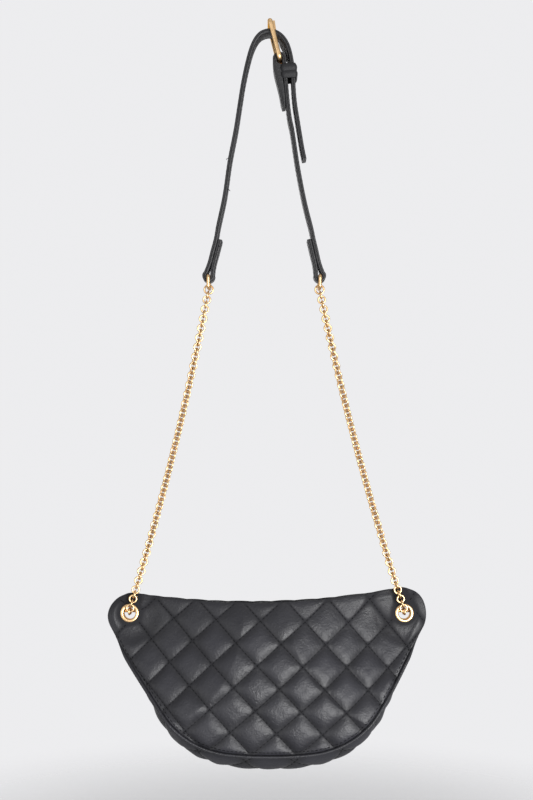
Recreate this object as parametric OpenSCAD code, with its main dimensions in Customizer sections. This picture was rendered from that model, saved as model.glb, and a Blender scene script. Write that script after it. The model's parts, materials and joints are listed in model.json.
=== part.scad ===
/* [Bag] */
// Width of the bag across its top corners
bag_w = 280; // [220:1:340]
// Height of the bag from its top corners to its base
bag_h = 154; // [130:1:190]
// Drop from the hanging point to the bag's top corners
drop = 485; // [400:1:600]
// Radius of the top corners
corner_r = 22; // [18:1:28]
// Radius of the lower corners
hip_r = 80; // [65:1:95]
// Radius of the long curve of the base
base_r = 220; // [180:1:270]
// Turn of the base curve before it meets the lower corners, in degrees
base_turn = 11; // [8:1:14]
// How far the top edge sags in the middle
top_sag = 10; // [4:0.5:12]
// Depth that the front swells to
front_belly = 28; // [22:1:34]
// Depth that the back swells to
back_belly = 15; // [14:1:24]
// Lean of the bag as it hangs with its weight under the chain ends, in degrees
hang_tilt = -5; // [-8:0.5:-3]
// How far the gusset stands out past the seams
gusset_round = 14.5; // [10:0.5:16]
// Thickness of the leather
leather_t = 1.4; // [1:0.1:2]
// Thickness of the lining
lining_t = 0.8; // [0.5:0.1:1.2]
// Thickness of the padding where it is fullest
pad_t = 2.5; // [1.5:0.1:4]
// Radius of the seam piping
piping_r = 1.2; // [0.8:0.1:1.6]
// Width of the slip pocket inside the back
pocket_w = 117.6; // [90:0.1:125]

/* [Zip] */
// Depth of the zip below the top corners
zip_depth = 17; // [15:0.5:22]
// Length of the row of teeth
zip_l = 150; // [120:1:155]
// Width of the slider
slider_w = 6; // [5:0.5:6.5]
// Length of the slider
slider_l = 9; // [7:0.5:11]
// Length of the pull
pull_l = 16; // [12:1:18]

/* [Eyelets] */
// Distance of the eyelets from the bag's sides
eyelet_in = 19.5; // [18:0.5:24]
// Depth of the eyelets below the top corners
eyelet_down = 20; // [18:0.5:24]
// Radius of the eyelet's hole
eyelet_hole_r = 5.25; // [4.8:0.05:5.6]
// Radius of the eyelet's flange
eyelet_flange_r = 8.1; // [7.4:0.1:8.6]

/* [Chain] */
// Outer diameter of a round link
link_d = 7.7; // [7:0.1:9.2]
// Diameter of the link's wire
link_wire = 1.6; // [1.3:0.05:1.75]
// Play between one link and the next
link_play = 0.25; // [0.2:0.05:0.4]
// How far each chain hangs in from a straight line
chain_sag = 4; // [0:0.5:6]
// Twist of the chain halfway along, in degrees
chain_twist = 45; // [0:1:60]

/* [Strap] */
// Width of the strap
strap_w = 24; // [18:0.5:30]
// Thickness of one layer of the strap
strap_t = 3.5; // [2.5:0.1:4]
// Length of the folded-back ends
fold_l = 33; // [26:1:36]
// Diameter of the wire of the strap rings
ring_wire = 3; // [2.4:0.1:3.4]
// Inside height of the strap rings
ring_h = 7; // [6.6:0.1:9]
// Length of the punched holes along the strap
hole_l = 8; // [7.5:0.5:9]
// Width of the punched holes
hole_w = 4; // [3.6:0.1:4.6]
// Spacing of the punched holes
hole_step = 20; // [16:1:24]
// Diameter of the buckle's bars
buckle_bar = 4.2; // [3.6:0.1:4.6]
// Length of the keeper along the strap
keeper_l = 10; // [7:0.5:12]
// Wall of the keeper
keeper_t = 1.4; // [1:0.1:1.8]

/* [Hidden] */
$fn = 48;

// Clearance between layers that are sewn together, and between pieces that move
lay = 0.25;
gap = 0.3;
leather_color = [0.07, 0.07, 0.08];
lining_color = [0.2, 0.18, 0.18];
padding_color = [0.85, 0.85, 0.82];
gold_color = [0.9, 0.72, 0.42];

// Places of the eyelets, in the bag's own frame: its top corners at height 0, its middle layer at depth 0
eyelet_x = bag_w/2 - eyelet_in;
eyelet_z = -eyelet_down;
ear_gap = 1.2;
ear_flat = eyelet_flange_r + 12;
ear_reach = 80;
pad_min = 0.5;
ear_half = ear_gap/2 + lining_t + pad_min + leather_t + 2*lay;

// Outline of the bag: corner, side, hip and base on the right, the same on the left, then the sagging top
hub = [0, -0.45*bag_h];
corner_c = [bag_w/2 - corner_r, -corner_r];
base_c = [0, base_r - bag_h];
hip_c = base_c + (base_r - hip_r)*[sin(base_turn), -cos(base_turn)];
side_turn = atan2(corner_c.y - hip_c.y, corner_c.x - hip_c.x)
    - acos((hip_r - corner_r)/norm(corner_c - hip_c));
function on_arc(c, r, a) = c + r*[cos(a), sin(a)];
function arc(c, r, a, b, n) = [for (i = [1:n]) on_arc(c, r, a + (b - a)*i/n)];
function between(p, q, n) = [for (i = [1:n]) p + (q - p)*i/n];
function flip(ps) = [for (i = [len(ps) - 1:-1:0]) [-ps[i].x, ps[i].y]];
side_top = on_arc(corner_c, corner_r, side_turn);
side_low = on_arc(hip_c, hip_r, side_turn);
right_side = concat([corner_c + [0, corner_r]],
    arc(corner_c, corner_r, 90, side_turn, 7),
    between(side_top, side_low, 5),
    arc(hip_c, hip_r, side_turn, base_turn - 90, 5),
    arc(base_c, base_r, base_turn - 90, -90, 4));
left_side = flip([for (i = [0:len(right_side) - 2]) right_side[i]]);
top_n = 14;
top_edge = [for (i = [1:top_n - 1]) let (u = 2*i/top_n - 1) [u*corner_c.x, -top_sag*(1 - u*u)]];
outline = concat(right_side, left_side, top_edge);

// Swell of the bag: flat at the eyelets, less at the sides, and part of a sine wave from top to base
swell_power = 0.7;
swell_taper = 0.3;
rise_start = 18;
rise_turn = 120;
function clamp(v) = max(0, min(1, v));
function ease(p) =
    let (d = norm([abs(p.x) - eyelet_x, p.y - eyelet_z]))
    pow(clamp((d - ear_flat)/ear_reach), swell_power)*(1 - swell_taper*pow(2*p.x/bag_w, 2));
function rise(p) = sin(rise_start - rise_turn*p.y/bag_h);
function half_depth(p, belly) = ear_gap/2 + belly*ease(p)*rise(p);

// Layers of a panel from the inside out: lining, padding, leather
LINING = 0;
PADDING = 1;
LEATHER = 2;
function layer_t(p, layer) = layer == LINING ? lining_t
    : layer == LEATHER ? leather_t : pad_min + pad_t*ease(p);
function layer_in(p, belly, layer) = half_depth(p, belly)
    + (layer > LINING ? lining_t + lay : 0)
    + (layer > PADDING ? layer_t(p, PADDING) + lay : 0);
function layer_out(p, belly, layer) = layer_in(p, belly, layer) + layer_t(p, layer);

// Seam of a panel: the outline drawn in where the gusset rounds out past it
gusset_from = 0.3*bag_h;
draw_power = 2;
function seam_in(p) = gusset_round*pow(clamp(-p.y/bag_h), draw_power);
function outward(p) = (p - hub)/norm(p - hub);
function seam(p, inset) = p - outward(p)*(seam_in(p) + inset);
gusset_path = [for (p = outline) if (-p.y > gusset_from) p];
leather_edge = leather_t + gap;

// A curved panel layer, front side towards -Y, between the seam and the hub
panel_rings = [0.2, 0.4, 0.56, 0.68, 0.77, 0.85, 0.92];
module panel(belly, layer, inset) {
    n = len(outline);
    rings = len(panel_rings) + 1;
    flat_points = concat([hub], [for (f = panel_rings) for (p = outline) hub + f*(seam(p, 0) - hub)],
        [for (p = outline) seam(p, inset)]);
    count = len(flat_points);
    points = concat([for (p = flat_points) [p.x, -layer_out(p, belly, layer), p.y]],
        [for (p = flat_points) [p.x, -layer_in(p, belly, layer), p.y]]);
    function at(k, i) = 1 + k*n + i % n;
    skin = concat([for (i = [0:n - 1]) [0, at(0, i), at(0, i + 1)]],
        [for (k = [0:rings - 2]) for (i = [0:n - 1]) each [
            [at(k, i), at(k + 1, i), at(k + 1, i + 1)], [at(k, i), at(k + 1, i + 1), at(k, i + 1)]]]);
    rim = [for (i = [0:n - 1]) let (a = at(rings - 1, i), b = at(rings - 1, i + 1)) each [
        [a, a + count, b + count], [a, b + count, b]]];
    polyhedron(points, concat(skin, [for (f = skin) [f[0], f[2], f[1]] + count*[1, 1, 1]], rim));
}

// A closed sheet between two grids of points
module sheet(a, b) {
    n = len(a);
    m = len(a[0]);
    function at(i, j) = i*m + j;
    count = n*m;
    skin = [for (i = [0:n - 2]) for (j = [0:m - 2]) each [
        [at(i, j), at(i + 1, j), at(i + 1, j + 1)], [at(i, j), at(i + 1, j + 1), at(i, j + 1)]]];
    border = concat([for (j = [0:m - 1]) at(0, j)], [for (i = [1:n - 1]) at(i, m - 1)],
        [for (j = [m - 2:-1:0]) at(n - 1, j)], [for (i = [n - 2:-1:1]) at(i, 0)]);
    rim = [for (k = [0:len(border) - 1]) let (p = border[k], q = border[(k + 1) % len(border)]) each [
        [p, q, q + count], [p, q + count, p + count]]];
    polyhedron([for (g = [a, b]) for (row = g) for (p = row) p],
        concat(skin, [for (f = skin) [f[0], f[2], f[1]] + count*[1, 1, 1]], rim));
}

// The gusset's cross-section runs from the front seam to the back seam and rounds outward
gusset_steps = 6;
function gusset_row(p, inset, t, layer) =
    let (s = seam(p, inset), o = outward(p),
        y0 = -layer_in(s, front_belly, layer) + gap, y1 = layer_in(s, back_belly, layer) - gap)
    [for (j = [0:gusset_steps]) let (u = j/gusset_steps, r = s + o*(4*seam_in(p)*u*(1 - u) - t))
        [r.x, y0 + (y1 - y0)*u, r.y]];
module gusset_sheet(inset, t, layer)
    sheet([for (p = gusset_path) gusset_row(p, inset, 0, layer)],
        [for (p = gusset_path) gusset_row(p, inset, t, layer)]);

// A round cord along the seam, front side towards -Y
piping_sides = 8;
module piping(belly) {
    n = len(gusset_path);
    m = piping_sides;
    points = [for (p = gusset_path) let (s = seam(p, 0), o = outward(p),
        y = -layer_in(s, belly, LEATHER) - piping_r - gap, c = s + o*(piping_r + gap))
        for (j = [0:m - 1]) let (a = 360*j/m, r = c + o*piping_r*cos(a)) [r.x, y + piping_r*sin(a), r.y]];
    function at(i, j) = i*m + j % m;
    polyhedron(points, concat(
        [for (i = [0:n - 2]) for (j = [0:m - 1]) each [
            [at(i, j), at(i + 1, j + 1), at(i + 1, j)], [at(i, j), at(i, j + 1), at(i + 1, j + 1)]]],
        [for (j = [1:m - 2]) [at(0, 0), at(0, j + 1), at(0, j)]],
        [for (j = [1:m - 2]) [at(n - 1, 0), at(n - 1, j), at(n - 1, j + 1)]]));
}

// Depth at which the chain hangs in front of the bag's middle layer
barrel_t = 0.8;
barrel_r = eyelet_hole_r + barrel_t;
flange_t = 0.9;
washer_t = 1;
ear_y = ear_half + link_d/2 + gap;
module in_bag() translate([0, 0, end_z - drop]) rotate([hang_tilt, 0, 0])
    translate([0, ear_y, -end_z]) children();
module at_eyelet(side) in_bag() translate([side*eyelet_x, 0, eyelet_z]) children();
module along_y() rotate([-90, 0, 0]) children();
module eyelet_bores() for (side = [-1, 1])
    translate([side*eyelet_x, -bag_h, eyelet_z]) along_y() cylinder(r = barrel_r + lay, h = 2*bag_h);
module pierced() difference() {
    children();
    eyelet_bores();
}

module front_panel() color(leather_color) in_bag() pierced() panel(front_belly, LEATHER, 0);
module front_padding() color(padding_color) in_bag() pierced() panel(front_belly, PADDING, leather_edge);
module front_lining() color(lining_color) in_bag() pierced() panel(front_belly, LINING, leather_edge);
module back_panel() color(leather_color) in_bag() pierced() mirror([0, 1, 0]) panel(back_belly, LEATHER, 0);
module back_padding() color(padding_color)
    in_bag() pierced() mirror([0, 1, 0]) panel(back_belly, PADDING, leather_edge);
module back_lining() color(lining_color)
    in_bag() pierced() mirror([0, 1, 0]) panel(back_belly, LINING, leather_edge);
module gusset() color(leather_color) in_bag() gusset_sheet(0, leather_t, LEATHER);
module gusset_lining() color(lining_color) in_bag() gusset_sheet(leather_edge, lining_t, LINING);
module front_piping() color(leather_color) in_bag() piping(front_belly);
module back_piping() color(leather_color) in_bag() mirror([0, 1, 0]) piping(back_belly);

// A slip pocket that follows the back lining
pocket_top = 0.36*bag_h;
pocket_low = 0.8*bag_h;
pocket_steps = 8;
function pocket_spot(i, j) = [pocket_w*(i/pocket_steps - 0.5),
    -pocket_top - (pocket_low - pocket_top)*j/pocket_steps];
function pocket_face(t) = [for (i = [0:pocket_steps]) [for (j = [0:pocket_steps]) let (p = pocket_spot(i, j))
    [p.x, half_depth(p, back_belly) - 2*gap - t, p.y]]];
module inner_pocket() color(lining_color) in_bag() sheet(pocket_face(0), pocket_face(lining_t));

// Reinforcement between the linings round each eyelet
stiffener_r = 13;
module ear_stiffener(side) color(padding_color) at_eyelet(side) along_y() difference() {
    cylinder(r = stiffener_r, h = ear_gap - 2*lay, center = true);
    cylinder(r = barrel_r + lay, h = bag_h, center = true);
}
module ear_stiffener_left() ear_stiffener(-1);
module ear_stiffener_right() ear_stiffener(1);

// Eyelet with a rounded flange in front and a barrel through the layers
module eyelet(side) color(gold_color) at_eyelet(side) along_y() {
    difference() {
        translate([0, 0, -ear_half - lay]) cylinder(r = barrel_r, h = 2*ear_half + 2*lay + washer_t);
        cylinder(r = eyelet_hole_r, h = bag_h, center = true);
    }
    translate([0, 0, -ear_half - lay]) rotate_extrude() difference() {
        translate([(eyelet_hole_r + eyelet_flange_r)/2, 0])
            half_bead((eyelet_flange_r - eyelet_hole_r)/2, flange_t);
        square([2*eyelet_flange_r, 2*flange_t]);
    }
}
// Half of a rounded bead of the given half width and height
bead_steps = 12;
module half_bead(w, h)
    polygon([for (i = [0:bead_steps]) let (a = 180 + 180*i/bead_steps) [w*cos(a), h*sin(a)]]);
module eyelet_left() eyelet(-1);
module eyelet_right() eyelet(1);
module eyelet_washer(side) color(gold_color) at_eyelet(side) along_y() translate([0, 0, ear_half + lay])
    difference() {
        cylinder(r = eyelet_flange_r, h = washer_t);
        translate([0, 0, -washer_t]) cylinder(r = barrel_r + lay, h = 3*washer_t);
    }
module eyelet_washer_left() eyelet_washer(-1);
module eyelet_washer_right() eyelet_washer(1);

// The link that passes through the eyelet, and the bar behind it that can't follow
wire_r = link_wire/2;
toggle_r = 1.5;
toggle_l = 2*eyelet_flange_r + 2;
end_half = toggle_r + wire_r + lay;
end_z = eyelet_z + eyelet_hole_r - gap - wire_r - end_half;
end_front = -ear_y - link_wire - lay;
toggle_y = ear_half + lay + washer_t + gap + toggle_r;
end_back = toggle_y + toggle_r + lay + wire_r;
module end_link(side) color(gold_color) in_bag() translate([side*eyelet_x, 0, end_z]) {
    for (s = [-1, 1]) translate([0, end_front + end_half, s*end_half])
        along_y() cylinder(r = wire_r, h = end_back - end_front - 2*end_half);
    translate([0, end_front + end_half, 0]) rotate([0, 90, 0]) half_ring(end_half, 180);
    translate([0, end_back - end_half, 0]) rotate([0, 90, 0]) half_ring(end_half, 0);
}
module half_ring(r, from) rotate([0, 0, from])
    rotate_extrude(angle = 180) translate([r, 0]) circle(r = wire_r);
module end_link_left() end_link(-1);
module end_link_right() end_link(1);
module toggle_bar(side) color(gold_color) in_bag() translate([side*eyelet_x, toggle_y, end_z])
    rotate([0, 90, 0]) cylinder(r = toggle_r, h = toggle_l, center = true);
module toggle_bar_left() toggle_bar(-1);
module toggle_bar_right() toggle_bar(1);

// Zip: two tapes between the linings, two rows of teeth, the stops, the slider and its pull
tape_t = 0.8;
tooth_h = 1.6;
tooth_w = 2.2;
tooth_step = 3;
tooth_n = floor(zip_l/tooth_step);
tape_steps = 24;
stop_l = 3;
plate_t = 1.2;
module at_zip() in_bag() translate([0, 0, -zip_depth]) children();
module zip_tape(belly) {
    half = zip_l/2 + stop_l;
    edge = [for (i = [0:tape_steps]) let (x = half*(2*i/tape_steps - 1))
        [x, lay - half_depth([x, -zip_depth], belly) + gap]];
    linear_extrude(tape_t) polygon(concat(edge, [[half, -gap], [-half, -gap]]));
}
module zip_tape_front() color(lining_color) at_zip() zip_tape(front_belly);
module zip_tape_back() color(lining_color) at_zip() mirror([0, 1, 0]) zip_tape(back_belly);
// One row of teeth as a comb: each tooth reaches past the middle into the other row's gap
tooth_reach = 0.6;
module zip_row(shift) {
    root = -tooth_reach - lay;
    tooth = tooth_step/2 - lay;
    teeth = [for (i = [0:tooth_n - 1]) let (x = -zip_l/2 + i*tooth_step + shift)
        each [[x, root], [x, tooth_reach], [x + tooth, tooth_reach], [x + tooth, root]]];
    translate([0, 0, tape_t + lay/2]) linear_extrude(tooth_h) polygon(concat(
        [[-zip_l/2, -tooth_w], [-zip_l/2, root]], teeth, [[zip_l/2, root], [zip_l/2, -tooth_w]]));
}
module zip_teeth_front() color(gold_color) at_zip() zip_row(lay);
module zip_teeth_back() color(gold_color) at_zip() mirror([0, 1, 0]) zip_row(tooth_step/2 + lay);
module zip_stops() color(gold_color) at_zip() for (side = [-1, 1])
    translate([side*(zip_l/2 + stop_l/2 + lay) - stop_l/2 + lay/2, -tooth_w, tape_t + lay/2])
        cube([stop_l - lay, 2*tooth_w, tooth_h]);
// The slider rests at the left end of the row and rides on top of the teeth
slider_x = -zip_l/2 + slider_l/2 + gap;
slider_z = tape_t + lay/2 + tooth_h + lay;
pin_r = 0.7;
lug_l = 3;
lug_w = 1;
lug_wall = 0.5;
pull_wall = 1;
eye_r = pin_r + gap/2 + pull_wall;
bail_z = slider_z + plate_t + eye_r + gap;
module zip_slider() color(gold_color) at_zip() translate([slider_x, 0, 0]) difference() {
    union() {
        translate([-slider_l/2, -slider_w/2, tape_t + lay])
            cube([slider_l, slider_w, slider_z + plate_t - tape_t - lay]);
        for (s = [-1, 1]) translate([-lug_l/2, s*(slider_w - lug_w)/2 - lug_w/2, slider_z])
            cube([lug_l, lug_w, bail_z + pin_r + lug_wall - slider_z]);
        translate([0, slider_w/2, bail_z]) rotate([90, 0, 0]) cylinder(r = pin_r, h = slider_w);
    }
    translate([-slider_l, -tooth_w - lay, 0]) cube([2*slider_l, 2*tooth_w + 2*lay, slider_z]);
}
// The pull lies along the zip, with its eye on the slider's cross pin
pull_w = slider_w - 2*lug_w - 2*gap;
module zip_pull() color(gold_color) at_zip() translate([slider_x, 0, bail_z]) difference() {
    union() {
        rotate([90, 0, 0]) cylinder(r = eye_r, h = pull_w, center = true);
        translate([0, -pull_w/2, -eye_r/2]) cube([pull_l, pull_w, eye_r]);
        translate([pull_l, 0, -eye_r/2]) cylinder(r = pull_w/2, h = eye_r);
    }
    rotate([90, 0, 0]) cylinder(r = pin_r + gap/2, h = 2*pull_w, center = true);
}

// Strap ends: the wire of each ring lies in a fold of the strap
ring_r = ring_wire/2;
left_loop = [-50.8, -210.7];
right_loop = [46, -210.7];
left_lean = 14.8;
right_lean = -13.3;
ring_drop = ring_h + ring_wire;
ring_side = strap_w/2 + gap + ring_r;
// A closed frame of round wire with rounded corners, w by h between the wire's centres
frame_bend = 1.2;
module wire_frame(w, h, r) {
    b = frame_bend*r;
    for (k = [0:3]) rotate([0, 0, 90*k]) {
        x = (k % 2 == 0 ? w : h)/2;
        y = (k % 2 == 0 ? h : w)/2;
        translate([x - b, y - b, 0]) rotate_extrude(angle = 90) translate([b, 0]) circle(r = r);
        translate([x, b - y, 0]) along_y() cylinder(r = r, h = 2*(y - b));
    }
}
module across_y() rotate([90, 0, 90]) children();
module strap_ring(c) color(gold_color) translate([c.x, 0, c.y - ring_drop/2]) across_y()
    wire_frame(2*ring_side, ring_drop, ring_r);
module ring_left() strap_ring(left_loop);
module ring_right() strap_ring(right_loop);

// Chains: from the lowest wire of each top link to the wire that each end link turns on
link_r = (link_d - link_wire)/2;
top_room = 1.3;
top_r = (ring_wire + 2*link_wire + top_room)/2;
pivot_drop = ring_drop + 2*top_r - ring_r - wire_r - lay;
top_shift = 0.8;
left_top = [left_loop.x - top_shift, left_loop.y - pivot_drop];
right_top = [right_loop.x + top_shift, right_loop.y - pivot_drop];
chain_end_z = end_z - drop;
function chain_foot(side) = [side*eyelet_x, chain_end_z];
function chain_at(a, b, u) = let (d = b - a, n = [-d.y, d.x]/norm(d), s = d.x < 0 ? 1 : -1)
    a + d*u + n*s*4*chain_sag*u*(1 - u);
function chain_lean(a, b, u) = let (d = chain_at(a, b, u - 0.01) - chain_at(a, b, u + 0.01)) atan2(d.x, d.y);
function chain_length(a, b) = norm(b - a) + 8*chain_sag*chain_sag/(3*norm(b - a));
function chain_count(a, b) = 2*ceil(chain_length(a, b)/(2*(2*link_r - link_wire - link_play)));
module chain_link(r, c, lean, spin) translate([c.x, 0, c.y]) rotate([0, lean, 0]) rotate([90, 0, spin])
    rotate_extrude() translate([r, 0]) circle(r = wire_r);
module chain(a, b) color(gold_color) {
    n = chain_count(a, b);
    pitch = chain_length(a, b)/n;
    start = pitch - link_r;
    for (i = [0:n - 1]) let (u = (start + i*pitch)/chain_length(a, b))
        chain_link(link_r, chain_at(a, b, u), chain_lean(a, b, u), 90*(i + 1) + chain_twist*sin(180*u));
}
module top_link(a, b) color(gold_color) let (lean = chain_lean(a, b, 0))
    chain_link(top_r, a + top_r*[sin(lean), cos(lean)], lean, 0);
module chain_left() chain(left_top, chain_foot(-1));
module chain_right() chain(right_top, chain_foot(1));
module top_link_left() top_link(left_top, chain_foot(-1));
module top_link_right() top_link(right_top, chain_foot(1));

// Strap routes in the front plane, with smooth curves through points chosen by hand
function heading(ps, i) = let (d = ps[min(i + 1, len(ps) - 1)] - ps[max(i - 1, 0)]) d/norm(d);
function smooth(ps, n) = concat([for (i = [0:len(ps) - 2])
    let (a = ps[i], b = ps[i + 1], l = norm(b - a), u = l*heading(ps, i), v = l*heading(ps, i + 1))
    for (k = [0:n - 1]) let (t = k/n) a + t*u + t*t*(3*(b - a) - 2*u - v) + t*t*t*(2*(a - b) + u + v)],
    [ps[len(ps) - 1]]);
function side_of(ps, i, w) = ps[i] + w*[-heading(ps, i).y, heading(ps, i).x];
module ribbon(ps, t, w) rotate([90, 0, 0]) linear_extrude(w, center = true)
    polygon(concat([for (i = [0:len(ps) - 1]) side_of(ps, i, t/2)],
        [for (i = [len(ps) - 1:-1:0]) side_of(ps, i, -t/2)]));
// A fold round a ring's wire, from its loose end to the strap's own layer; side is where the loose end lies
fold_r = ring_r + gap + strap_t/2;
fold_gap = strap_t + gap;
fold_stops = [0.33, 0.65, 1];
function fold(c, lean, side) =
    let (up = [sin(lean), cos(lean)], out = side*[cos(lean), -sin(lean)])
    concat([for (i = [2:-1:0]) c + up*fold_l*fold_stops[i] + out*fold_gap/2],
        [for (a = [-35:25:215]) c + fold_r*(out*cos(a) - up*sin(a))],
        [for (f = fold_stops) c + up*fold_l*f - out*fold_gap/2]);
smoothing = 4;
long_leg = [[-42.4, -168], [-36.8, -141.8], [-32.2, -110.3], [-27.1, -84], [-23, -57.8], [-20.5, -42.4],
    [-16.1, -22.4], [-11.9, -9.5], [-6.6, -1.4]];
crown = [[0, strap_t/2], [6.2, strap_t/2 - 0.4], [12.3, -2.2], [16.8, -8], [19.7, -15.5], [21.4, -24]];
tail = [[22.3, -33], [23.9, -57.8], [27.1, -78.8], [30.6, -99.8], [32.6, -109.4]];
long_path = smooth(concat(fold(left_loop, left_lean, 1), long_leg, crown, tail), smoothing);
heel = [10.9, -22.3];
front_bar = [2.6, 10.1];
short_leg = [[38.8, -171], [32.8, -147], [26.7, -115.5], [21.9, -84], [19.7, -73.5], [17.8, -57.8],
    [15.9, -36]];
heel_r = buckle_bar/2 + gap + strap_t/2;
heel_fold = [for (a = [-15:30:195]) heel + heel_r*[cos(a), sin(a)]];
short_end = [[7.6, -31.5], [10.2, -42.4], [12.8, -53.4], [14.5, -63.9]];
short_path = smooth(concat(fold(right_loop, right_lean, -1), short_leg, heel_fold, short_end), smoothing);

// Punched holes: one on the prong, the rest along the tail and back along the leg
prong_t = 2.2;
prong_w = 3;
frame_dir = (front_bar - heel)/norm(front_bar - heel);
prong_tip = front_bar + (buckle_bar/2 + gap + prong_t/2)*[frame_dir.y, -frame_dir.x];
prong_dir = (prong_tip - heel)/norm(prong_tip - heel);
function nearest(ps, p) = let (least = min([for (q = ps) norm(q - p)]))
    [for (i = [0:len(ps) - 1]) if (norm(ps[i] - p) == least) i][0];
function run_to(ps, i) = i == 0 ? 0 : run_to(ps, i - 1) + norm(ps[i] - ps[i - 1]);
long_runs = [for (i = [0:len(long_path) - 1]) run_to(long_path, i)];
prong_play = 1;
prong_cross = heel + prong_dir*(crown[1].y - heel.y)/prong_dir.y;
prong_at = nearest(long_path, prong_cross);
prong_run = long_runs[prong_at];
module punch(p, h) translate([p.x, 0, p.y]) rotate([0, atan2(h.x, h.y) - 90, 0]) {
    for (s = [-1, 1]) translate([s*(hole_l - hole_w)/2, 0, 0])
        cylinder(d = hole_w, h = 3*strap_t, center = true);
    cube([hole_l - hole_w, hole_w, 3*strap_t], center = true);
}
module strap_long() color(leather_color) difference() {
    ribbon(long_path, strap_t, strap_w);
    let (h = heading(long_path, prong_at)) punch(prong_cross + prong_play*h, h);
    for (k = [holes_before:holes_after]) if (k != 0)
        let (run = prong_run + k*hole_step, i = nearest([for (r = long_runs) [r, 0]], [run, 0]))
            punch(long_path[i], heading(long_path, i));
}
holes_before = -2;
holes_after = 4;
slot_room = 1.6;
prong_slot = prong_w + slot_room;
eye_wall = 1.4;
module strap_short() color(leather_color) difference() {
    ribbon(short_path, strap_t, strap_w);
    translate([heel.x - 2*heel_r, -prong_slot/2, heel.y - buckle_bar/2 - eye_wall - 2*gap])
        cube([4*heel_r, prong_slot, 4*heel_r]);
}

// Buckle: a round-bar frame whose heel bar lies in the short strap's fold
bar_side = strap_w/2 + gap + buckle_bar/2;
frame_mid = (heel + front_bar)/2;
module buckle_frame() color(gold_color) translate([frame_mid.x, 0, frame_mid.y])
    rotate([0, atan2(frame_dir.x, frame_dir.y), 0]) across_y()
        wire_frame(2*bar_side, norm(front_bar - heel), buckle_bar/2);
module buckle_prong() color(gold_color) translate([heel.x, 0, heel.y]) difference() {
    union() {
        rotate([90, 0, 0]) cylinder(r = buckle_bar/2 + lay + eye_wall, h = prong_w, center = true);
        rotate([0, atan2(prong_dir.x, prong_dir.y), 0]) translate([-prong_t/2, -prong_w/2, 0])
            cube([prong_t, prong_w, norm(prong_tip - heel) + buckle_bar/2]);
    }
    rotate([90, 0, 0]) cylinder(r = buckle_bar/2 + lay, h = 2*prong_w, center = true);
}

// Keeper: a band round the short strap's own layer and the tail
keeper_at = [19, -33];
keeper_lean = -4.6;
layer_apart = 6.6;
keeper_in = layer_apart + strap_t + 2*gap;
module keeper_block(grow, l) cube([keeper_in + 2*grow, strap_w + 2*gap + 2*grow, l], center = true);
module strap_keeper() color(leather_color)
    translate([keeper_at.x, 0, keeper_at.y]) rotate([0, keeper_lean, 0]) difference() {
        keeper_block(keeper_t, keeper_l);
        keeper_block(0, 2*keeper_l);
    }

front_panel();
front_padding();
front_lining();
back_panel();
back_padding();
back_lining();
gusset();
gusset_lining();
front_piping();
back_piping();
inner_pocket();
ear_stiffener_left();
ear_stiffener_right();
eyelet_left();
eyelet_right();
eyelet_washer_left();
eyelet_washer_right();
end_link_left();
end_link_right();
toggle_bar_left();
toggle_bar_right();
zip_tape_front();
zip_tape_back();
zip_teeth_front();
zip_teeth_back();
zip_stops();
zip_slider();
zip_pull();
chain_left();
chain_right();
top_link_left();
top_link_right();
ring_left();
ring_right();
strap_long();
strap_short();
buckle_frame();
buckle_prong();
strap_keeper();
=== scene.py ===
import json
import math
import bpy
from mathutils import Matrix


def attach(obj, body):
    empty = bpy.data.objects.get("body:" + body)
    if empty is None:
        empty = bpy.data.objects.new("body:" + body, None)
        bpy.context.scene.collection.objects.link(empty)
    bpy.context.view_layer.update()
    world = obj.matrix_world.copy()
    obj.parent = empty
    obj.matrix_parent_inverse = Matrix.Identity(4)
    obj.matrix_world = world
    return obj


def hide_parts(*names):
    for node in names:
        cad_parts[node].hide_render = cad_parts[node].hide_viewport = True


bl_info = {
    "name": "Quilted Crossbody Purse",
    "version": (1, 0, 0),
    "blender": (4, 5, 0),
    "location": "View3D > Sidebar > Purse",
    "description": "Dresses the packed frame of a quilted purse in leather, cloth, thread and gold",
    "category": "Add Mesh",
}

import bmesh
import bpy
import numpy as np
from bpy.props import FloatProperty, FloatVectorProperty, PointerProperty
from bpy.types import Operator, Panel, PropertyGroup
from mathutils import Vector
from mathutils.kdtree import KDTree

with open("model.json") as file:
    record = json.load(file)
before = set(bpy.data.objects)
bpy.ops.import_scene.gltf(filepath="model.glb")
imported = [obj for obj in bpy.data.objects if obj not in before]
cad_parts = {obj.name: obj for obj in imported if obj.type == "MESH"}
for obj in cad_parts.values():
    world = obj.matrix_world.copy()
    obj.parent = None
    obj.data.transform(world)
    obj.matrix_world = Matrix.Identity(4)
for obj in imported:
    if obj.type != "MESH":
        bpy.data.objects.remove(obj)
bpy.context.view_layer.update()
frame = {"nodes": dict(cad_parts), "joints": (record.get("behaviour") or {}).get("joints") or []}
JOINTS = {joint["name"]: joint for joint in frame["joints"]}
MM = 0.001
SIDES = ("front", "back")
# Where the bag hangs from its chains, and the lean it hangs at
BAG_PIVOT = np.array(JOINTS["bag_tilt"]["pos_m"])
PULL_AXIS = JOINTS["zip_pull_flip"]["axis"]
BAG_LEAN = math.atan2(PULL_AXIS[2], PULL_AXIS[1])


def size(name, description, default):
    """A length in metres that a user can change."""
    return FloatProperty(name=name, description=description, default=default, unit="LENGTH")


def angle(name, description, degrees):
    """An angle that a user can change."""
    return FloatProperty(name=name, description=description, default=math.radians(degrees), subtype="ANGLE")


def swatch(name, description, default):
    """A colour that a user can change."""
    return FloatVectorProperty(name=name, description=description, default=default, size=3,
                               min=0, max=1, subtype="COLOR")


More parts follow.
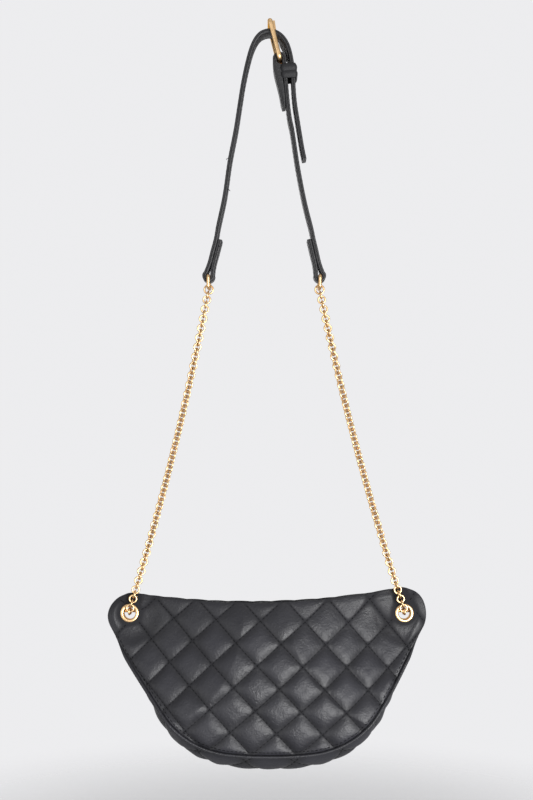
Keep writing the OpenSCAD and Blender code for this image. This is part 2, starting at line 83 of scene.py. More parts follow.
class BagSizes(PropertyGroup):
    """Sizes of the bag's soft shell."""

    width: size("Width", "Width across the top corners", 0.280)
    height: size("Height", "Height from the top corners to the base", 0.154)
    corner_radius: size("Corner radius", "Radius of the top corners", 0.022)
    hip_radius: size("Hip radius", "Radius of the lower corners", 0.080)
    base_radius: size("Base radius", "Radius of the long base curve", 0.220)
    base_turn: angle("Base turn", "Turn of the base curve before it meets the lower corners", 11)
    top_sag: size("Top sag", "How far the top edge sags in the middle", 0.010)
    front_belly: size("Front belly", "Depth that the front swells to", 0.028)
    back_belly: size("Back belly", "Depth that the back swells to", 0.015)
    gusset_round: size("Gusset round", "How far the gusset stands out past the seams", 0.0145)
    leather: size("Leather", "Thickness of the leather", 0.0014)
    lining: size("Lining", "Thickness of the lining", 0.0008)
    padding: size("Padding", "Thickness of the padding where it is fullest", 0.0025)
    piping_radius: size("Piping radius", "Radius of the seam piping", 0.0013)
    eyelet_in: size("Eyelet in", "Distance of the eyelets from the sides", 0.0195)
    eyelet_down: size("Eyelet down", "Depth of the eyelets below the top corners", 0.020)
    eyelet_bore: size("Eyelet bore", "Radius of the hole cut for an eyelet", 0.0063)
    zip_depth: size("Zip depth", "Depth of the zip below the top corners", 0.017)
    zip_length: size("Zip length", "Length of the zip tapes", 0.156)
    drift: size("Drift", "How far the lower body hangs over to the right", 0.0026)
    top_lean: size("Top lean", "How far the top edge hangs lower on the left and higher on the right", 0.0028)


class QuiltSizes(PropertyGroup):
    """Sizes of the quilting and its thread."""

    side: size("Side", "Side of one quilted square", 0.0276)
    turn: angle("Turn", "Turn of the quilting from level", 43.4)
    start_x: size("Start across", "Place of one crossing of the stitches, across the bag", 0.0125)
    start_z: size("Start height", "Height of one crossing of the stitches", -0.0455)
    puff: size("Puff", "Height of a pillow above its stitches", 0.0031)
    sink: size("Sink", "How far the stitches draw the leather in", 0.0013)
    shoulder: size("Shoulder", "Distance over which a pillow rises", 0.0115)
    stitch_step: size("Stitch step", "Distance from one stitch to the next", 0.0038)
    stitch_length: size("Stitch length", "Length of the thread that shows in a stitch", 0.0027)
    thread_radius: size("Thread radius", "Radius of the sewing thread", 0.00028)


class StrapSizes(PropertyGroup):
    """Sizes of the strap and its keeper."""

    width: size("Width", "Width of the strap", 0.024)
    turn_in: size("Turn beside the buckle", "How far the long strap's far edge is drawn in", 0.003)
    thickness: size("Thickness", "Thickness of one layer", 0.0035)
    fold_length: size("Fold length", "Length of the folded-back ends", 0.033)
    ring_radius: size("Ring wire radius", "Radius of the wire of the rings", 0.0015)
    bar_radius: size("Buckle bar radius", "Radius of the buckle's bars", 0.0021)
    edge_round: size("Edge round", "Rounding of the painted edges", 0.0009)
    edge_groove: size("Edge groove", "Depth of the line between the two layers", 0.00045)
    seam_inset: size("Seam inset", "Distance of the stitching from the edges", 0.0026)
    hole_length: size("Hole length", "Length of a punched hole", 0.008)
    hole_width: size("Hole width", "Width of a punched hole", 0.004)
    hole_step: size("Hole step", "Spacing of the punched holes", 0.020)
    keeper_length: size("Keeper length", "Length of the keeper along the strap", 0.0128)
    keeper_wall: size("Keeper wall", "Wall of the keeper", 0.0014)
    keeper_ridge: size("Keeper ridge", "Height of the keeper's two ridges", 0.0007)


class Finishes(PropertyGroup):
    """Colours and gloss of the materials."""

    leather: swatch("Leather", "Colour of the quilted leather", (0.0110, 0.0110, 0.0138))
    leather_roughness: FloatProperty(
        name="Leather roughness", description="How dull the quilted leather is", default=0.46,
        min=0, max=1, subtype="FACTOR")
    strap: swatch("Strap", "Colour of the strap leather", (0.010, 0.010, 0.0115))
    edge: swatch("Edge paint", "Colour of the strap's painted edges", (0.012, 0.012, 0.013))
    lining: swatch("Lining", "Colour of the lining cloth", (0.030, 0.029, 0.031))
    tape: swatch("Zip tape", "Colour of the zip tape", (0.016, 0.016, 0.017))
    thread: swatch("Thread", "Colour of the sewing thread", (0.0035, 0.0035, 0.004))
    felt: swatch("Felt", "Colour of the reinforcement felt", (0.10, 0.10, 0.10))
    gold: swatch("Gold", "Colour of the metal fittings", (0.55, 0.372, 0.195))
    floor: swatch("Floor", "Colour of the studio floor", (0.84, 0.84, 0.855))
    backdrop: swatch("Backdrop", "Colour of the studio background", (0.845, 0.845, 0.860))


def bag_sizes():
    return bpy.context.scene.purse_bag


def quilt_sizes():
    return bpy.context.scene.purse_quilt


def strap_sizes():
    return bpy.context.scene.purse_strap


def finishes():
    return bpy.context.scene.purse_finishes


def rise(value, start=0.0, span=1.0):
    """A smooth step from 0 at the start to 1 at the end of a span."""
    share = np.clip((value - start)/span, 0, 1)
    return share*share*(3 - 2*share)


def ripples(across, up, wavelength, seed, count=9):
    """Smooth, seeded waviness between about -1 and 1."""
    rng = np.random.default_rng(seed)
    turn = rng.uniform(0, 2*math.pi, count)
    scale = 2*math.pi/(wavelength*rng.uniform(0.7, 1.6, count))
    phase = rng.uniform(0, 2*math.pi, count)
    waves = [np.sin(k*(across*math.cos(a) + up*math.sin(a)) + p) for a, k, p in zip(turn, scale, phase)]
    return sum(waves)/math.sqrt(count)


def unit(v):
    return v/np.linalg.norm(v, axis=-1, keepdims=True)


def headings(path):
    """Directions along a path."""
    return unit(np.gradient(path, axis=0))


def square_to(along, toward):
    """The directions nearest to another that stand square to a line."""
    return unit(toward - np.sum(along*toward, axis=1, keepdims=True)*along)


def run_along(path):
    """Distance of each point of a path from its start."""
    return np.concatenate(((0,), np.cumsum(np.linalg.norm(np.diff(path, axis=0), axis=1))))


def along_path(places, run, path):
    """Points of a flat path at places along its run."""
    return np.stack([np.interp(places, run, path[:, axis]) for axis in (0, 1)], axis=-1)


def lay(flat, depth):
    """Points of the front plane, moved to their depths."""
    return np.stack((flat[..., 0], depth, flat[..., 1]), axis=-1)


def arc(centre, radius, start, end, count):
    """Points on an arc, from one angle to another."""
    turn = np.linspace(start, end, count)
    return np.column_stack((centre[0] + radius*np.cos(turn), centre[1] + radius*np.sin(turn)))


def full_turn(count):
    """Angles of points evenly round a circle."""
    return np.linspace(0, 2*math.pi, count, endpoint=False)


def swelling(gap, reach, power):
    """A rounded rise from 0 at a line to 1 at its reach."""
    return 1 - (1 - np.clip(gap/reach, 0, 1))**power


class BagForm:
    """The bag's outline, swell and layers, with the top corners at height 0 and the middle at depth 0."""

    LAY = 0.25*MM
    PAD_MIN = 0.5*MM
    HEM = 1.7*MM
    HUB_SHARE = 0.45
    CORNER_POINTS = 41
    HIP_POINTS = 61
    SIDE_POINTS = 40
    BASE_POINTS = 31
    TOP_POINTS = 101
    # The ears lie flat, and the swell eases in around them
    EAR_GAP = 1.2*MM
    EAR_FLAT = 14*MM
    EAR_REACH = 86*MM
    EASE_POWER = 0.9
    EASE_START = 0.18
    SIDE_PULL = 0.3
    SWELL_START = math.radians(18)
    SWELL_TURN = math.radians(120)
    # Start and span of the steps that the slump is made with
    DRIFT_BELOW = (45*MM, 60*MM)
    LEAN_ABOVE = (-32*MM, 26*MM)
    EYELET_HELD = (9*MM, 8*MM)
    # Where the bag's pivot lies in its own frame
    PIVOT_DEPTH = -7.95*MM
    PIVOT_HEIGHT = -18.4*MM

    def __init__(self, sizes):
        self.sizes = sizes
        self.hub = np.array((0, -self.HUB_SHARE*sizes.height))
        self.eyelet = np.array((sizes.width/2 - sizes.eyelet_in, -sizes.eyelet_down))
        corner = np.array((sizes.width/2 - sizes.corner_radius, -sizes.corner_radius))
        base = np.array((0, sizes.base_radius - sizes.height))
        turn = sizes.base_turn
        down = np.array((math.sin(turn), -math.cos(turn)))
        hip = base + (sizes.base_radius - sizes.hip_radius)*down
        reach = corner - hip
        lean = math.acos((sizes.hip_radius - sizes.corner_radius)/np.linalg.norm(reach))
        side = math.atan2(reach[1], reach[0]) - lean
        corner_arc = arc(corner, sizes.corner_radius, math.pi/2, side, self.CORNER_POINTS)
        hip_arc = arc(hip, sizes.hip_radius, side, turn - math.pi/2, self.HIP_POINTS)
        side_line = np.linspace(corner_arc[-1], hip_arc[0], self.SIDE_POINTS)[1:-1]
        base_arc = arc(base, sizes.base_radius, turn - math.pi/2, -math.pi/2, self.BASE_POINTS)[1:]
        right = np.vstack((corner_arc, side_line, hip_arc, base_arc))
        left = (right[:-1]*(-1, 1))[::-1]
        share = np.linspace(-1, 1, self.TOP_POINTS)[1:]
        top = np.column_stack((share*corner[0], -sizes.top_sag*(1 - share*share)))
        self.edge = np.vstack((right, left, top))
        steps = np.linalg.norm(np.diff(self.edge, axis=0), axis=1)
        self.run = np.concatenate(((0,), np.cumsum(steps)))/steps.sum()
        ear = self.CORNER_POINTS//2
        hip_middle = len(corner_arc) + len(side_line) + self.HIP_POINTS//2
        last = len(right) + len(left) - 1
        self.stops = self.run[[ear, hip_middle, last - hip_middle, last - ear]]

    def side(self, name):
        """Which way a side faces, and how far it swells."""
        return (-1, self.sizes.front_belly) if name == "front" else (1, self.sizes.back_belly)

    def rim(self, share):
        """The outline's point at a share of its length, clockwise from the right corner."""
        return along_path(np.mod(share, 1), self.run, self.edge)

    def lower_edge(self, highest, count):
        """Outline points below a height, from the right side round the base to the left."""
        share = np.linspace(0, 1, 6000, endpoint=False)
        below = share[self.rim(share)[:, 1] < highest]
        return self.rim(np.linspace(below[0], below[-1], count))

    def outward(self, p):
        return unit(p - self.hub)

    def seam_in(self, p):
        return self.sizes.gusset_round*np.clip(-p[..., 1]/self.sizes.height, 0, 1)**2

    def seam(self, p, inset=0.0):
        """The outline drawn in to the panel's seam."""
        return p - self.outward(p)*(self.seam_in(p) + inset)[..., None]

    def from_eyelet(self, p):
        return np.hypot(np.abs(p[..., 0]) - self.eyelet[0], p[..., 1] - self.eyelet[1])

    def ease(self, p):
        """0 at the flat ears, rising to 1 where the swell is free."""
        free = np.clip((self.from_eyelet(p) - self.EAR_FLAT)/self.EAR_REACH, 0, 1)
        free = free**self.EASE_POWER*rise(free, 0, self.EASE_START)
        return free*(1 - self.SIDE_PULL*(2*p[..., 0]/self.sizes.width)**2)

    def half_depth(self, p, belly):
        """Depth of the lining's inner face."""
        wave = np.sin(self.SWELL_START - self.SWELL_TURN*p[..., 1]/self.sizes.height)
        return self.EAR_GAP/2 + belly*self.ease(p)*wave

    def padding_face(self, p, belly):
        return self.half_depth(p, belly) + self.sizes.lining + self.LAY

    def leather_back(self, p, belly):
        return self.padding_face(p, belly) + self.PAD_MIN + self.sizes.padding*self.ease(p) + self.LAY

    def slump(self, p):
        """How the soft shell hangs: the lower body over to the right, the top a little low on the left."""
        x, y, z = p[..., 0], p[..., 1], p[..., 2]
        half = self.sizes.width/2
        drift = self.sizes.drift*rise(-z, *self.DRIFT_BELOW)
        free = rise(self.from_eyelet(p[..., ::2]), *self.EYELET_HELD)
        lean = self.sizes.top_lean*x/half*rise(z, *self.LEAN_ABOVE)*free
        return np.stack((x + drift, y, z + lean), axis=-1)

    def place(self, p, soft=True):
        """From the bag's own frame to the world. Only soft pieces slump."""
        p = np.asarray(p, float)
        p = self.slump(p) if soft else p
        y = p[..., 1] - self.PIVOT_DEPTH
        z = p[..., 2] - self.PIVOT_HEIGHT
        cos, sin = math.cos(BAG_LEAN), math.sin(BAG_LEAN)
        return np.stack((p[..., 0], y*cos - z*sin, y*sin + z*cos), axis=-1) + BAG_PIVOT

    def facing(self, sign):
        """The direction in which the front, -1, or the back, 1, faces."""
        return self.place(np.array((0, sign, 0))) - self.place(np.zeros(3))

    def panel_grid(self, columns, rows, inset):
        """A grid over a panel. Its border follows the seam, and its corners lie at the ears and the hips."""
        a, b = np.meshgrid(np.linspace(-1, 1, columns + 1), np.linspace(1, -1, rows + 1))
        reach = np.maximum(np.abs(a), np.abs(b))
        safe = np.where(reach > 0, reach, 1)
        right_ear, right_hip, left_hip, left_ear = self.stops
        top = left_ear + (a/safe + 1)/2*(1 + right_ear - left_ear)
        right = right_ear + (1 - b/safe)/2*(right_hip - right_ear)
        low = right_hip + (1 - a/safe)/2*(left_hip - right_hip)
        left = left_hip + (b/safe + 1)/2*(left_ear - left_hip)
        share = np.select([b >= np.abs(a), -b >= np.abs(a), a > 0], [top, low, right], left)
        border = self.seam(self.rim(share), inset)
        return self.hub + reach[..., None]*(border - self.hub)


class Quilt:
    """Diamond quilting over one side: two sets of stitched lines with a pillow between them."""

    SEEDS = {"front": 3, "back": 8}
    SEAM_POINTS = 2400
    # How far the chain runs inward for its rise
    CHAIN_LEAN = 0.25
    # How the pattern closes up at the sides and leans lower down
    TRUE_ABOVE = 40*MM
    SIDE_CLOSE = 0.075
    LOW_LEAN = 0.06
    LOW_CLOSE = 0.035
    # Start and span of the steps from held to free leather
    FLANGE = (8.8*MM, 6*MM)
    CHAIN = (5.2*MM, 4*MM)
    TOP_FLAT = (6*MM, 50*MM)
    EAR_FADE = (22*MM, 14*MM)
    ROLL_FADE = (-16*MM, 5*MM)
    # Pillows and puckers
    VALLEY_ROUND = 0.25*MM
    SHOULDER_POWER = 2.4
    LEAST_FULL = 0.86
    FULLER = 0.28
    PUCKER = 0.07*MM
    PUCKER_STEP = 4.9*MM
    PUCKER_REACH = 3.2*MM
    PUCKER_CLEAR = 1.2*MM
    # Height and wavelength of the leather's unevenness
    CRUMPLE = (0.18*MM, 28*MM)
    FINE_CRUMPLE = (0.015*MM, 7*MM)
    # The turned edge and the bulge over it
    EDGE_ROUND = 6.5*MM
    RIDGE = 0.8*MM
    RIDGE_INSET = 5.5*MM
    RIDGE_WIDTH = 2.4*MM
    ROLL = 0.6*MM
    ROLL_FROM = 8*MM
    ROLL_REACH = 5*MM
    ROLL_LEVEL = 0.45
    # Stitches
    LINE_REACH = 0.2
    LOOK_AHEAD = 0.4*MM
    SEAM_CLEAR = 2.2*MM
    SEWN_OPEN = 0.25
    STITCH_PROUD = 0.04*MM

    def __init__(self, form, name):
        self.form = form
        self.name = name
        self.sizes = quilt_sizes()
        self.sign, self.belly = form.side(name)
        self.seed = self.SEEDS[name]
        self.seam = form.seam(form.rim(np.linspace(0, 1, self.SEAM_POINTS, endpoint=False)))
        self.tree = KDTree(len(self.seam))
        for index, (x, z) in enumerate(self.seam):
            self.tree.insert((x, z, 0), index)
        self.tree.balance()

    def edge_distance(self, p):
        found = [self.tree.find((x, z, 0))[2] for x, z in p.reshape(-1, 2)]
        return np.array(found).reshape(p.shape[:-1])

    def skin(self, p):
        """Place on the flat skin, whose pattern closes up at the sides and leans to the left lower down."""
        x, z = p[..., 0], p[..., 1]
        share = x/(self.form.sizes.width/2)
        lower = -z - self.TRUE_ABOVE
        across = x*(1 + self.SIDE_CLOSE*share**2) + self.LOW_LEAN*lower*(1 - 0.5*share)
        return np.stack((across, z - self.LOW_CLOSE*lower), axis=-1)

    def spot(self, p):
        """Place in the quilting, in squares."""
        skin = self.skin(p) - np.array((self.sizes.start_x, self.sizes.start_z))
        cos, sin = math.cos(self.sizes.turn), math.sin(self.sizes.turn)
        x, z = skin[..., 0]/self.sizes.side, skin[..., 1]/self.sizes.side
        return x*cos + z*sin, z*cos - x*sin

    def under(self, u, v):
        """The point of the panel at a place in the quilting."""
        cos, sin = math.cos(self.sizes.turn), math.sin(self.sizes.turn)
        skin = np.stack((u*cos - v*sin, u*sin + v*cos), axis=-1)*self.sizes.side
        skin += np.array((self.sizes.start_x, self.sizes.start_z))
        p = skin
        for _ in range(12):
            p = p + skin - self.skin(p)
        return p

    def open_leather(self, p):
        """1 on free leather, 0 under the eyelet's flange and under the chain."""
        form = self.form
        free = rise(form.from_eyelet(p), *self.FLANGE)
        above = p[..., 1] - form.eyelet[1]
        path = form.eyelet[0] - self.CHAIN_LEAN*above
        beside = rise(np.abs(np.abs(p[..., 0]) - path), *self.CHAIN)
        return free*np.where(above > 0, beside, 1)

    def pillow(self, p):
        """Height of the pillow from 0 at its stitches to 1, and the puckers beside the stitches."""
        u, v = self.spot(p)
        side = self.sizes.side
        # A number of its own for each pillow, so that no two are quite as full
        cell = np.sin(np.floor(u)*12.9898 + np.floor(v)*78.233 + self.seed)*43758.5453
        height, pucker = 1, 0
        for across, along in ((u, v), (v, u)):
            line = np.round(across)
            gap = np.abs(across - line)*side
            wave = np.sin(2*math.pi*along*side/self.PUCKER_STEP + 2.4*line + 1.3*np.sin(5*along + line))
            pucker = pucker + wave*np.exp(-gap/self.PUCKER_REACH)*rise(gap, 0, self.PUCKER_CLEAR)
            gap = np.hypot(gap, self.VALLEY_ROUND) - self.VALLEY_ROUND
            height = height*swelling(gap, self.sizes.shoulder, self.SHOULDER_POWER)
        return height*(self.LEAST_FULL + self.FULLER*(cell - np.floor(cell))), pucker

    def depth(self, p):
        """Depth of the outer face, and how high it stands on its pillow."""
        form = self.form
        back = form.leather_back(p, self.belly)
        height, pucker = self.pillow(p)
        free = self.open_leather(p)
        x, z = p[..., 0], p[..., 1]
        # Pillows are flatter on the ears and along the top
        soft = (0.35 + 0.65*rise(form.ease(p), 0, 0.45))*(0.42 + 0.58*rise(-z, *self.TOP_FLAT))
        puffed = (self.sizes.puff*height - self.sizes.sink + self.PUCKER*pucker)*soft
        crumple = 0
        for shift, (deep, wavelength) in enumerate((self.CRUMPLE, self.FINE_CRUMPLE)):
            crumple = crumple + deep*ripples(x, z, wavelength, self.seed + shift)
        inset = self.edge_distance(p)
        ear = 1 - rise(form.from_eyelet(p), *self.EAR_FADE)
        ridge = self.RIDGE*ear*np.exp(-((inset - self.RIDGE_INSET)/self.RIDGE_WIDTH)**2)
        face = back + form.sizes.leather + free*(puffed + crumple + ridge)
        rounded = np.sqrt(swelling(inset, self.EDGE_ROUND, 2))
        # The second value, the height on the pillow, also paints shade: the leather is painted darker in the
        # valleys, under the eyelets' flanges and the chain, on the ears and along the top.
        return back + (face - back)*rounded, height*free*soft

    def rolled(self, p):
        """The panel's points with the pillows bulging over the top edge."""
        pillow = self.pillow(p - np.array((0, self.ROLL_FROM)))[0]
        near = np.exp(-self.edge_distance(p)/self.ROLL_REACH)
        bulge = (pillow - self.ROLL_LEVEL)*near*self.open_leather(p)
        top = rise(p[..., 1], *self.ROLL_FADE)
        return np.stack((p[..., 0], p[..., 1] + self.ROLL*bulge*top), axis=-1)

    def inside(self, p):
        """Whether a point lies within the seam."""
        x, z = p[:, 0], p[:, 1]
        a = self.seam[::6]
        b = np.roll(a, -1, axis=0)
        found = np.zeros(len(p), bool)
        for (ax, az), (bx, bz) in zip(a, b):
            if az != bz:
                found ^= ((az > z) != (bz > z)) & (x < (bx - ax)*(z - az)/(bz - az) + ax)
        return found

    def lines(self):
        """Places of the stitches on the panel, and the points just ahead of them."""
        squares = int(self.LINE_REACH/self.sizes.side) + 1
        run = np.arange(-squares, squares, self.sizes.stitch_step/self.sizes.side)
        step = self.LOOK_AHEAD/self.sizes.side
        spots, ahead = [], []
        for line in range(-squares, squares + 1):
            fixed = np.full_like(run, line)
            for u, v in ((fixed, run), (run, fixed)):
                spots.append(self.under(u, v))
                ahead.append(self.under(u + step*(v is fixed), v + step*(u is fixed)))
        spots, ahead = np.vstack(spots), np.vstack(ahead)
        keep = self.inside(spots)
        spots, ahead = spots[keep], ahead[keep]
        keep = (self.edge_distance(spots) > self.SEAM_CLEAR) & (self.open_leather(spots) > self.SEWN_OPEN)
        return spots[keep], ahead[keep]


class Band:
    """The strip between the front and back seams, in rows along it and columns across it."""

    LAP = 0.3*MM

    def __init__(self, form, path, columns, inset, layer):
        self.share = np.linspace(0, 1, columns)
        self.seam = form.seam(path, inset)
        self.out = form.outward(path)
        self.start = -layer(self.seam, form.sizes.front_belly) + self.LAP
        self.end = layer(self.seam, form.sizes.back_belly) - self.LAP
        self.wide = (self.end - self.start)[:, None]
        self.depth = self.start[:, None] + self.wide*self.share
        self.swell = 4*form.seam_in(path)[:, None]*self.share*(1 - self.share)

    def sheets(self, swell, thickness):
        """The outer and the inner face."""
        return [lay(self.seam[:, None] + self.out[:, None]*(swell - sunk)[..., None], self.depth)
                for sunk in (0, thickness)]


def border(rows, columns):
    """Indices round the edge of a grid of points."""
    index = np.arange(rows*columns).reshape(rows, columns)
    return np.concatenate((index[0], index[1:, -1], index[-1, -2::-1], index[-2:0:-1, 0]))


def grid_faces(rows, columns, first=0, wrap=False):
    """Quads of a grid of points, row by row, closed along each row if it wraps."""
    row, column = np.meshgrid(np.arange(rows - 1), np.arange(columns if wrap else columns - 1), indexing="ij")
    right = (column + 1) % columns
    quads = np.stack((row*columns + column, row*columns + right,
                      (row + 1)*columns + right, (row + 1)*columns + column), axis=-1)
    return (quads.reshape(-1, 4) + first).tolist()


def sheet_faces(rows, columns):
    """Faces of a closed sheet between two grids of points."""
    count = rows*columns
    loop = border(rows, columns)
    after = np.roll(loop, -1)
    rim = np.stack((loop, after, after + count, loop + count), axis=-1).tolist()
    return grid_faces(rows, columns) + grid_faces(rows, columns, first=count) + rim


def grid_point(points, row, column):
    """Points of a grid at places between its rows and columns."""
    i = np.clip(row.astype(int), 0, points.shape[0] - 2)
    j = np.clip(column.astype(int), 0, points.shape[1] - 2)
    a, b = (row - i)[:, None], (column - j)[:, None]
    return ((points[i, j]*(1 - b) + points[i, j + 1]*b)*(1 - a)
            + (points[i + 1, j]*(1 - b) + points[i + 1, j + 1]*b)*a)


def new_piece(name, points, faces, material):
    """A closed, smooth mesh with its faces turned outward."""
    mesh = bpy.data.meshes.new(name)
    mesh.from_pydata(np.asarray(points).reshape(-1, 3).tolist(), [], faces)
    shell = bmesh.new()
    shell.from_mesh(mesh)
    bmesh.ops.recalc_face_normals(shell, faces=shell.faces)
    shell.to_mesh(mesh)
    shell.free()
    mesh.shade_smooth()
    mesh.materials.append(material)
    piece = bpy.data.objects.new(name, mesh)
    bpy.context.scene.collection.objects.link(piece)
    return piece


def sheet_piece(form, name, sheets, material, soft=True):
    """A closed sheet between two grids of points in the bag's frame."""
    points = form.place(np.stack(sheets).reshape(-1, 3), soft)
    return new_piece(name, points, sheet_faces(*sheets[0].shape[:2]), material)


def settle(piece, body, slot, *nodes):
    """Put a finished piece on its body, in place of the solids it stands for."""
    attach(piece, body)
    if nodes:
        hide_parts(*nodes)
    return piece


def dress(node, material):
    """Give a CAD node its finish."""
    slots = frame["nodes"][node].data.materials
    slots.clear()
    slots.append(material)


def cut(piece, points, faces):
    """Cut a closed shape out of a piece."""
    knife = new_piece("knife", points, faces, piece.data.materials[0])
    modifier = piece.modifiers.new("cut", "BOOLEAN")
    modifier.object = knife
    modifier.operation = "DIFFERENCE"
    modifier.solver = "EXACT"
    graph = bpy.context.evaluated_depsgraph_get()
    whole = piece.data
    piece.data = bpy.data.meshes.new_from_object(piece.evaluated_get(graph))
    piece.data.name = whole.name
    piece.modifiers.clear()
    bpy.data.meshes.remove(whole)
    blade = knife.data
    bpy.data.objects.remove(knife)
    bpy.data.meshes.remove(blade)
    piece.data.set_sharp_from_angle(angle=math.radians(55))


def prism(ring, reach):
    """A straight prism from ring - reach to ring + reach."""
    ring = np.asarray(ring)
    count = len(ring)
    sides = [[i, (i + 1) % count, count + (i + 1) % count, count + i] for i in range(count)]
    ends = [list(range(count - 1, -1, -1)), list(range(count, 2*count))]
    return np.vstack((ring - reach, ring + reach)), sides + ends


def eyelet_bores(form):
    """Both eyelets' bores through every layer of the bag."""
    through = np.array((0, 40*MM, 0))
    turn = full_turn(64)
    points, faces = [], []
    for side in (-1, 1):
        ring = np.column_stack((side*form.eyelet[0] + form.sizes.eyelet_bore*np.cos(turn),
                                np.zeros_like(turn), form.eyelet[1] + form.sizes.eyelet_bore*np.sin(turn)))
        bore, walls = prism(ring, through)
        faces += [[index + sum(map(len, points)) for index in face] for face in walls]
        points.append(bore)
    return form.place(np.vstack(points)), faces


def tube(path, radius, sides):
    """Points and faces of a closed round tube along a path, with one radius or one for each point."""
    ahead = headings(path)
    across = unit(np.cross(ahead, np.array((0.0, 1.0, 0.02))))
    over = np.cross(across, ahead)
    turn = full_turn(sides)[None, :, None]
    radius = np.broadcast_to(radius, len(path))[:, None, None]
    rings = path[:, None] + radius*(np.cos(turn)*across[:, None] + np.sin(turn)*over[:, None])
    points = np.vstack((rings.reshape(-1, 3), path[:1], path[-1:]))
    last = len(path)*sides
    faces = grid_faces(len(path), sides, wrap=True)
    faces += [[last, (i + 1) % sides, i] for i in range(sides)]
    faces += [[last + 1, last - sides + i, last - sides + (i + 1) % sides] for i in range(sides)]
    return points, faces


def stitches(name, centres, ahead, out):
    """One piece of many stitches, each a short length of thread that dips in at its ends."""
    rings, sides = 7, 6
    radius = quilt_sizes().thread_radius
    run = np.linspace(-1, 1, rings)
    turn = full_turn(sides)
    swell = np.sqrt(np.clip(1 - (0.97*run)**6, 0, 1))
    dip = -0.9*run**4
    a = np.repeat(run*quilt_sizes().stitch_length/2, sides)
    b = (swell[:, None]*np.cos(turn)).ravel()*radius
    c = ((swell[:, None]*np.sin(turn)) + dip[:, None]).ravel()*radius
    side = np.cross(out, ahead)
    points = (centres[:, None] + a[None, :, None]*ahead[:, None] + b[None, :, None]*side[:, None]
              + c[None, :, None]*out[:, None])
    one = grid_faces(rings, sides, wrap=True)
    one += [list(range(sides - 1, -1, -1)), list(range((rings - 1)*sides, rings*sides))]
    shifts = range(0, len(centres)*rings*sides, rings*sides)
    faces = [[index + shift for index in face] for shift in shifts for face in one]
    return new_piece(name, points, faces, finish("sewing_thread"))


def mark_lift(piece, lift):
    """Store how high each point stands on its pillow, which the leather's finish turns into dullness and
    painted shade. Points after those given stand at 0.
    """
    values = np.zeros(len(piece.data.vertices), np.float32)
    values[:lift.size] = lift.ravel()
    piece.data.attributes.new("lift", "FLOAT", "POINT").data.foreach_set("value", values)


def add(tree, kind, inputs=(), **settings):
    """A node of the given kind, with its settings and its inputs, linked or plain."""
    node = tree.nodes.new("ShaderNode" + kind)
    for name, value in settings.items():
        setattr(node, name, value)
    for name, value in dict(inputs).items():
        if isinstance(value, bpy.types.NodeSocket):
            tree.links.new(value, node.inputs[name])
        else:
            node.inputs[name].default_value = value
    return node


def math_node(tree, operation, first, second):
    return add(tree, "Math", {0: first, 1: second}, operation=operation).outputs["Value"]


def tint(colour, scale):
    return tuple(channel*scale for channel in colour)


class Finish:
    """A new material, with the nodes that give it its grain."""

    def __init__(self, name):
        self.material = bpy.data.materials.new(name)
        self.material.use_nodes = True
        self.tree = self.material.node_tree
        self.shader = next(node for node in self.tree.nodes if node.type == "BSDF_PRINCIPLED")
        self.place = add(self.tree, "TexCoord").outputs["Object"]

    def noise(self, scale, detail, distortion=0.0):
        inputs = {"Vector": self.place, "Scale": scale, "Detail": detail, "Distortion": distortion}
        return add(self.tree, "TexNoise", inputs).outputs["Fac"]

    def wave(self, direction, scale, distortion, **more):
        inputs = {"Vector": self.place, "Scale": scale, "Distortion": distortion, **more}
        return add(self.tree, "TexWave", inputs, bands_direction=direction).outputs["Fac"]

    def ramp(self, factor, low, high, start=0.0, end=1.0):
        """Blend from one grey or colour to another as a factor rises."""
        node = add(self.tree, "ValToRGB", {"Fac": factor})
        for element, place, value in zip(node.color_ramp.elements, (start, end), (low, high)):
            element.position = place
            element.color = (*value, 1) if hasattr(value, "__len__") else (value, value, value, 1)
        return node.outputs["Color"]

    def mixed(self, first, second, share):
        """Two greys added, the first with its share and the second with the rest."""
        parts = (math_node(self.tree, "MULTIPLY", first, share),
                 math_node(self.tree, "MULTIPLY", second, 1 - share))
        return math_node(self.tree, "ADD", *parts)

    def link(self, socket, value):
        self.tree.links.new(value, self.shader.inputs[socket])

    def paint(self, factor, colour, dark, light, *span):
        """Shade the colour from dark to light as a factor rises."""
        self.link("Base Color", self.ramp(factor, tint(colour, dark), tint(colour, light), *span))

    def set(self, socket, value):
        self.shader.inputs[socket].default_value = value

    def bump(self, height, strength, distance, below=None):
        inputs = {"Height": height, "Strength": strength, "Distance": distance}
        if below is not None:
            inputs["Normal"] = below
        normal = add(self.tree, "Bump", inputs).outputs["Normal"]
        self.link("Normal", normal)
        return normal


def leather_finish(name, colour, roughness, shine, quilted):
    """Soft grained leather, duller in its stitched valleys, with painted shade: on quilted leather the colour
    darkens where the leather stands low on its pillows.
    """
    look = Finish(name)
    clouds = look.noise(38.0, 4.0)
    creases = look.noise(430.0, 4.0, 0.6)
    pores = add(look.tree, "TexVoronoi", {"Vector": look.place, "Scale": 950.0}, feature="SMOOTH_F1")
    shade = clouds
    dull = look.ramp(clouds, roughness - 0.06, roughness + 0.09, 0.25, 0.75)
    if quilted:
        lift = add(look.tree, "Attribute", attribute_name="lift").outputs["Fac"]
        # Painted shade: half of the colour's shading follows the pillow height, so the stitched valleys, the
        # ears and the top edge are painted darker.
        shade = look.mixed(clouds, lift, 0.5)
        dull = math_node(look.tree, "MAXIMUM", dull, look.ramp(lift, 0.9, 0.0, 0.03, 0.32))
    look.paint(shade, colour, 0.45, 1.25, 0.2, 0.85)
    look.link("Roughness", dull)
    look.set("Specular IOR Level", shine)
    rough = look.bump(creases, 0.55, 0.0007)
    look.bump(pores.outputs["Distance"], 0.30, 0.0004, rough)
    return look.material


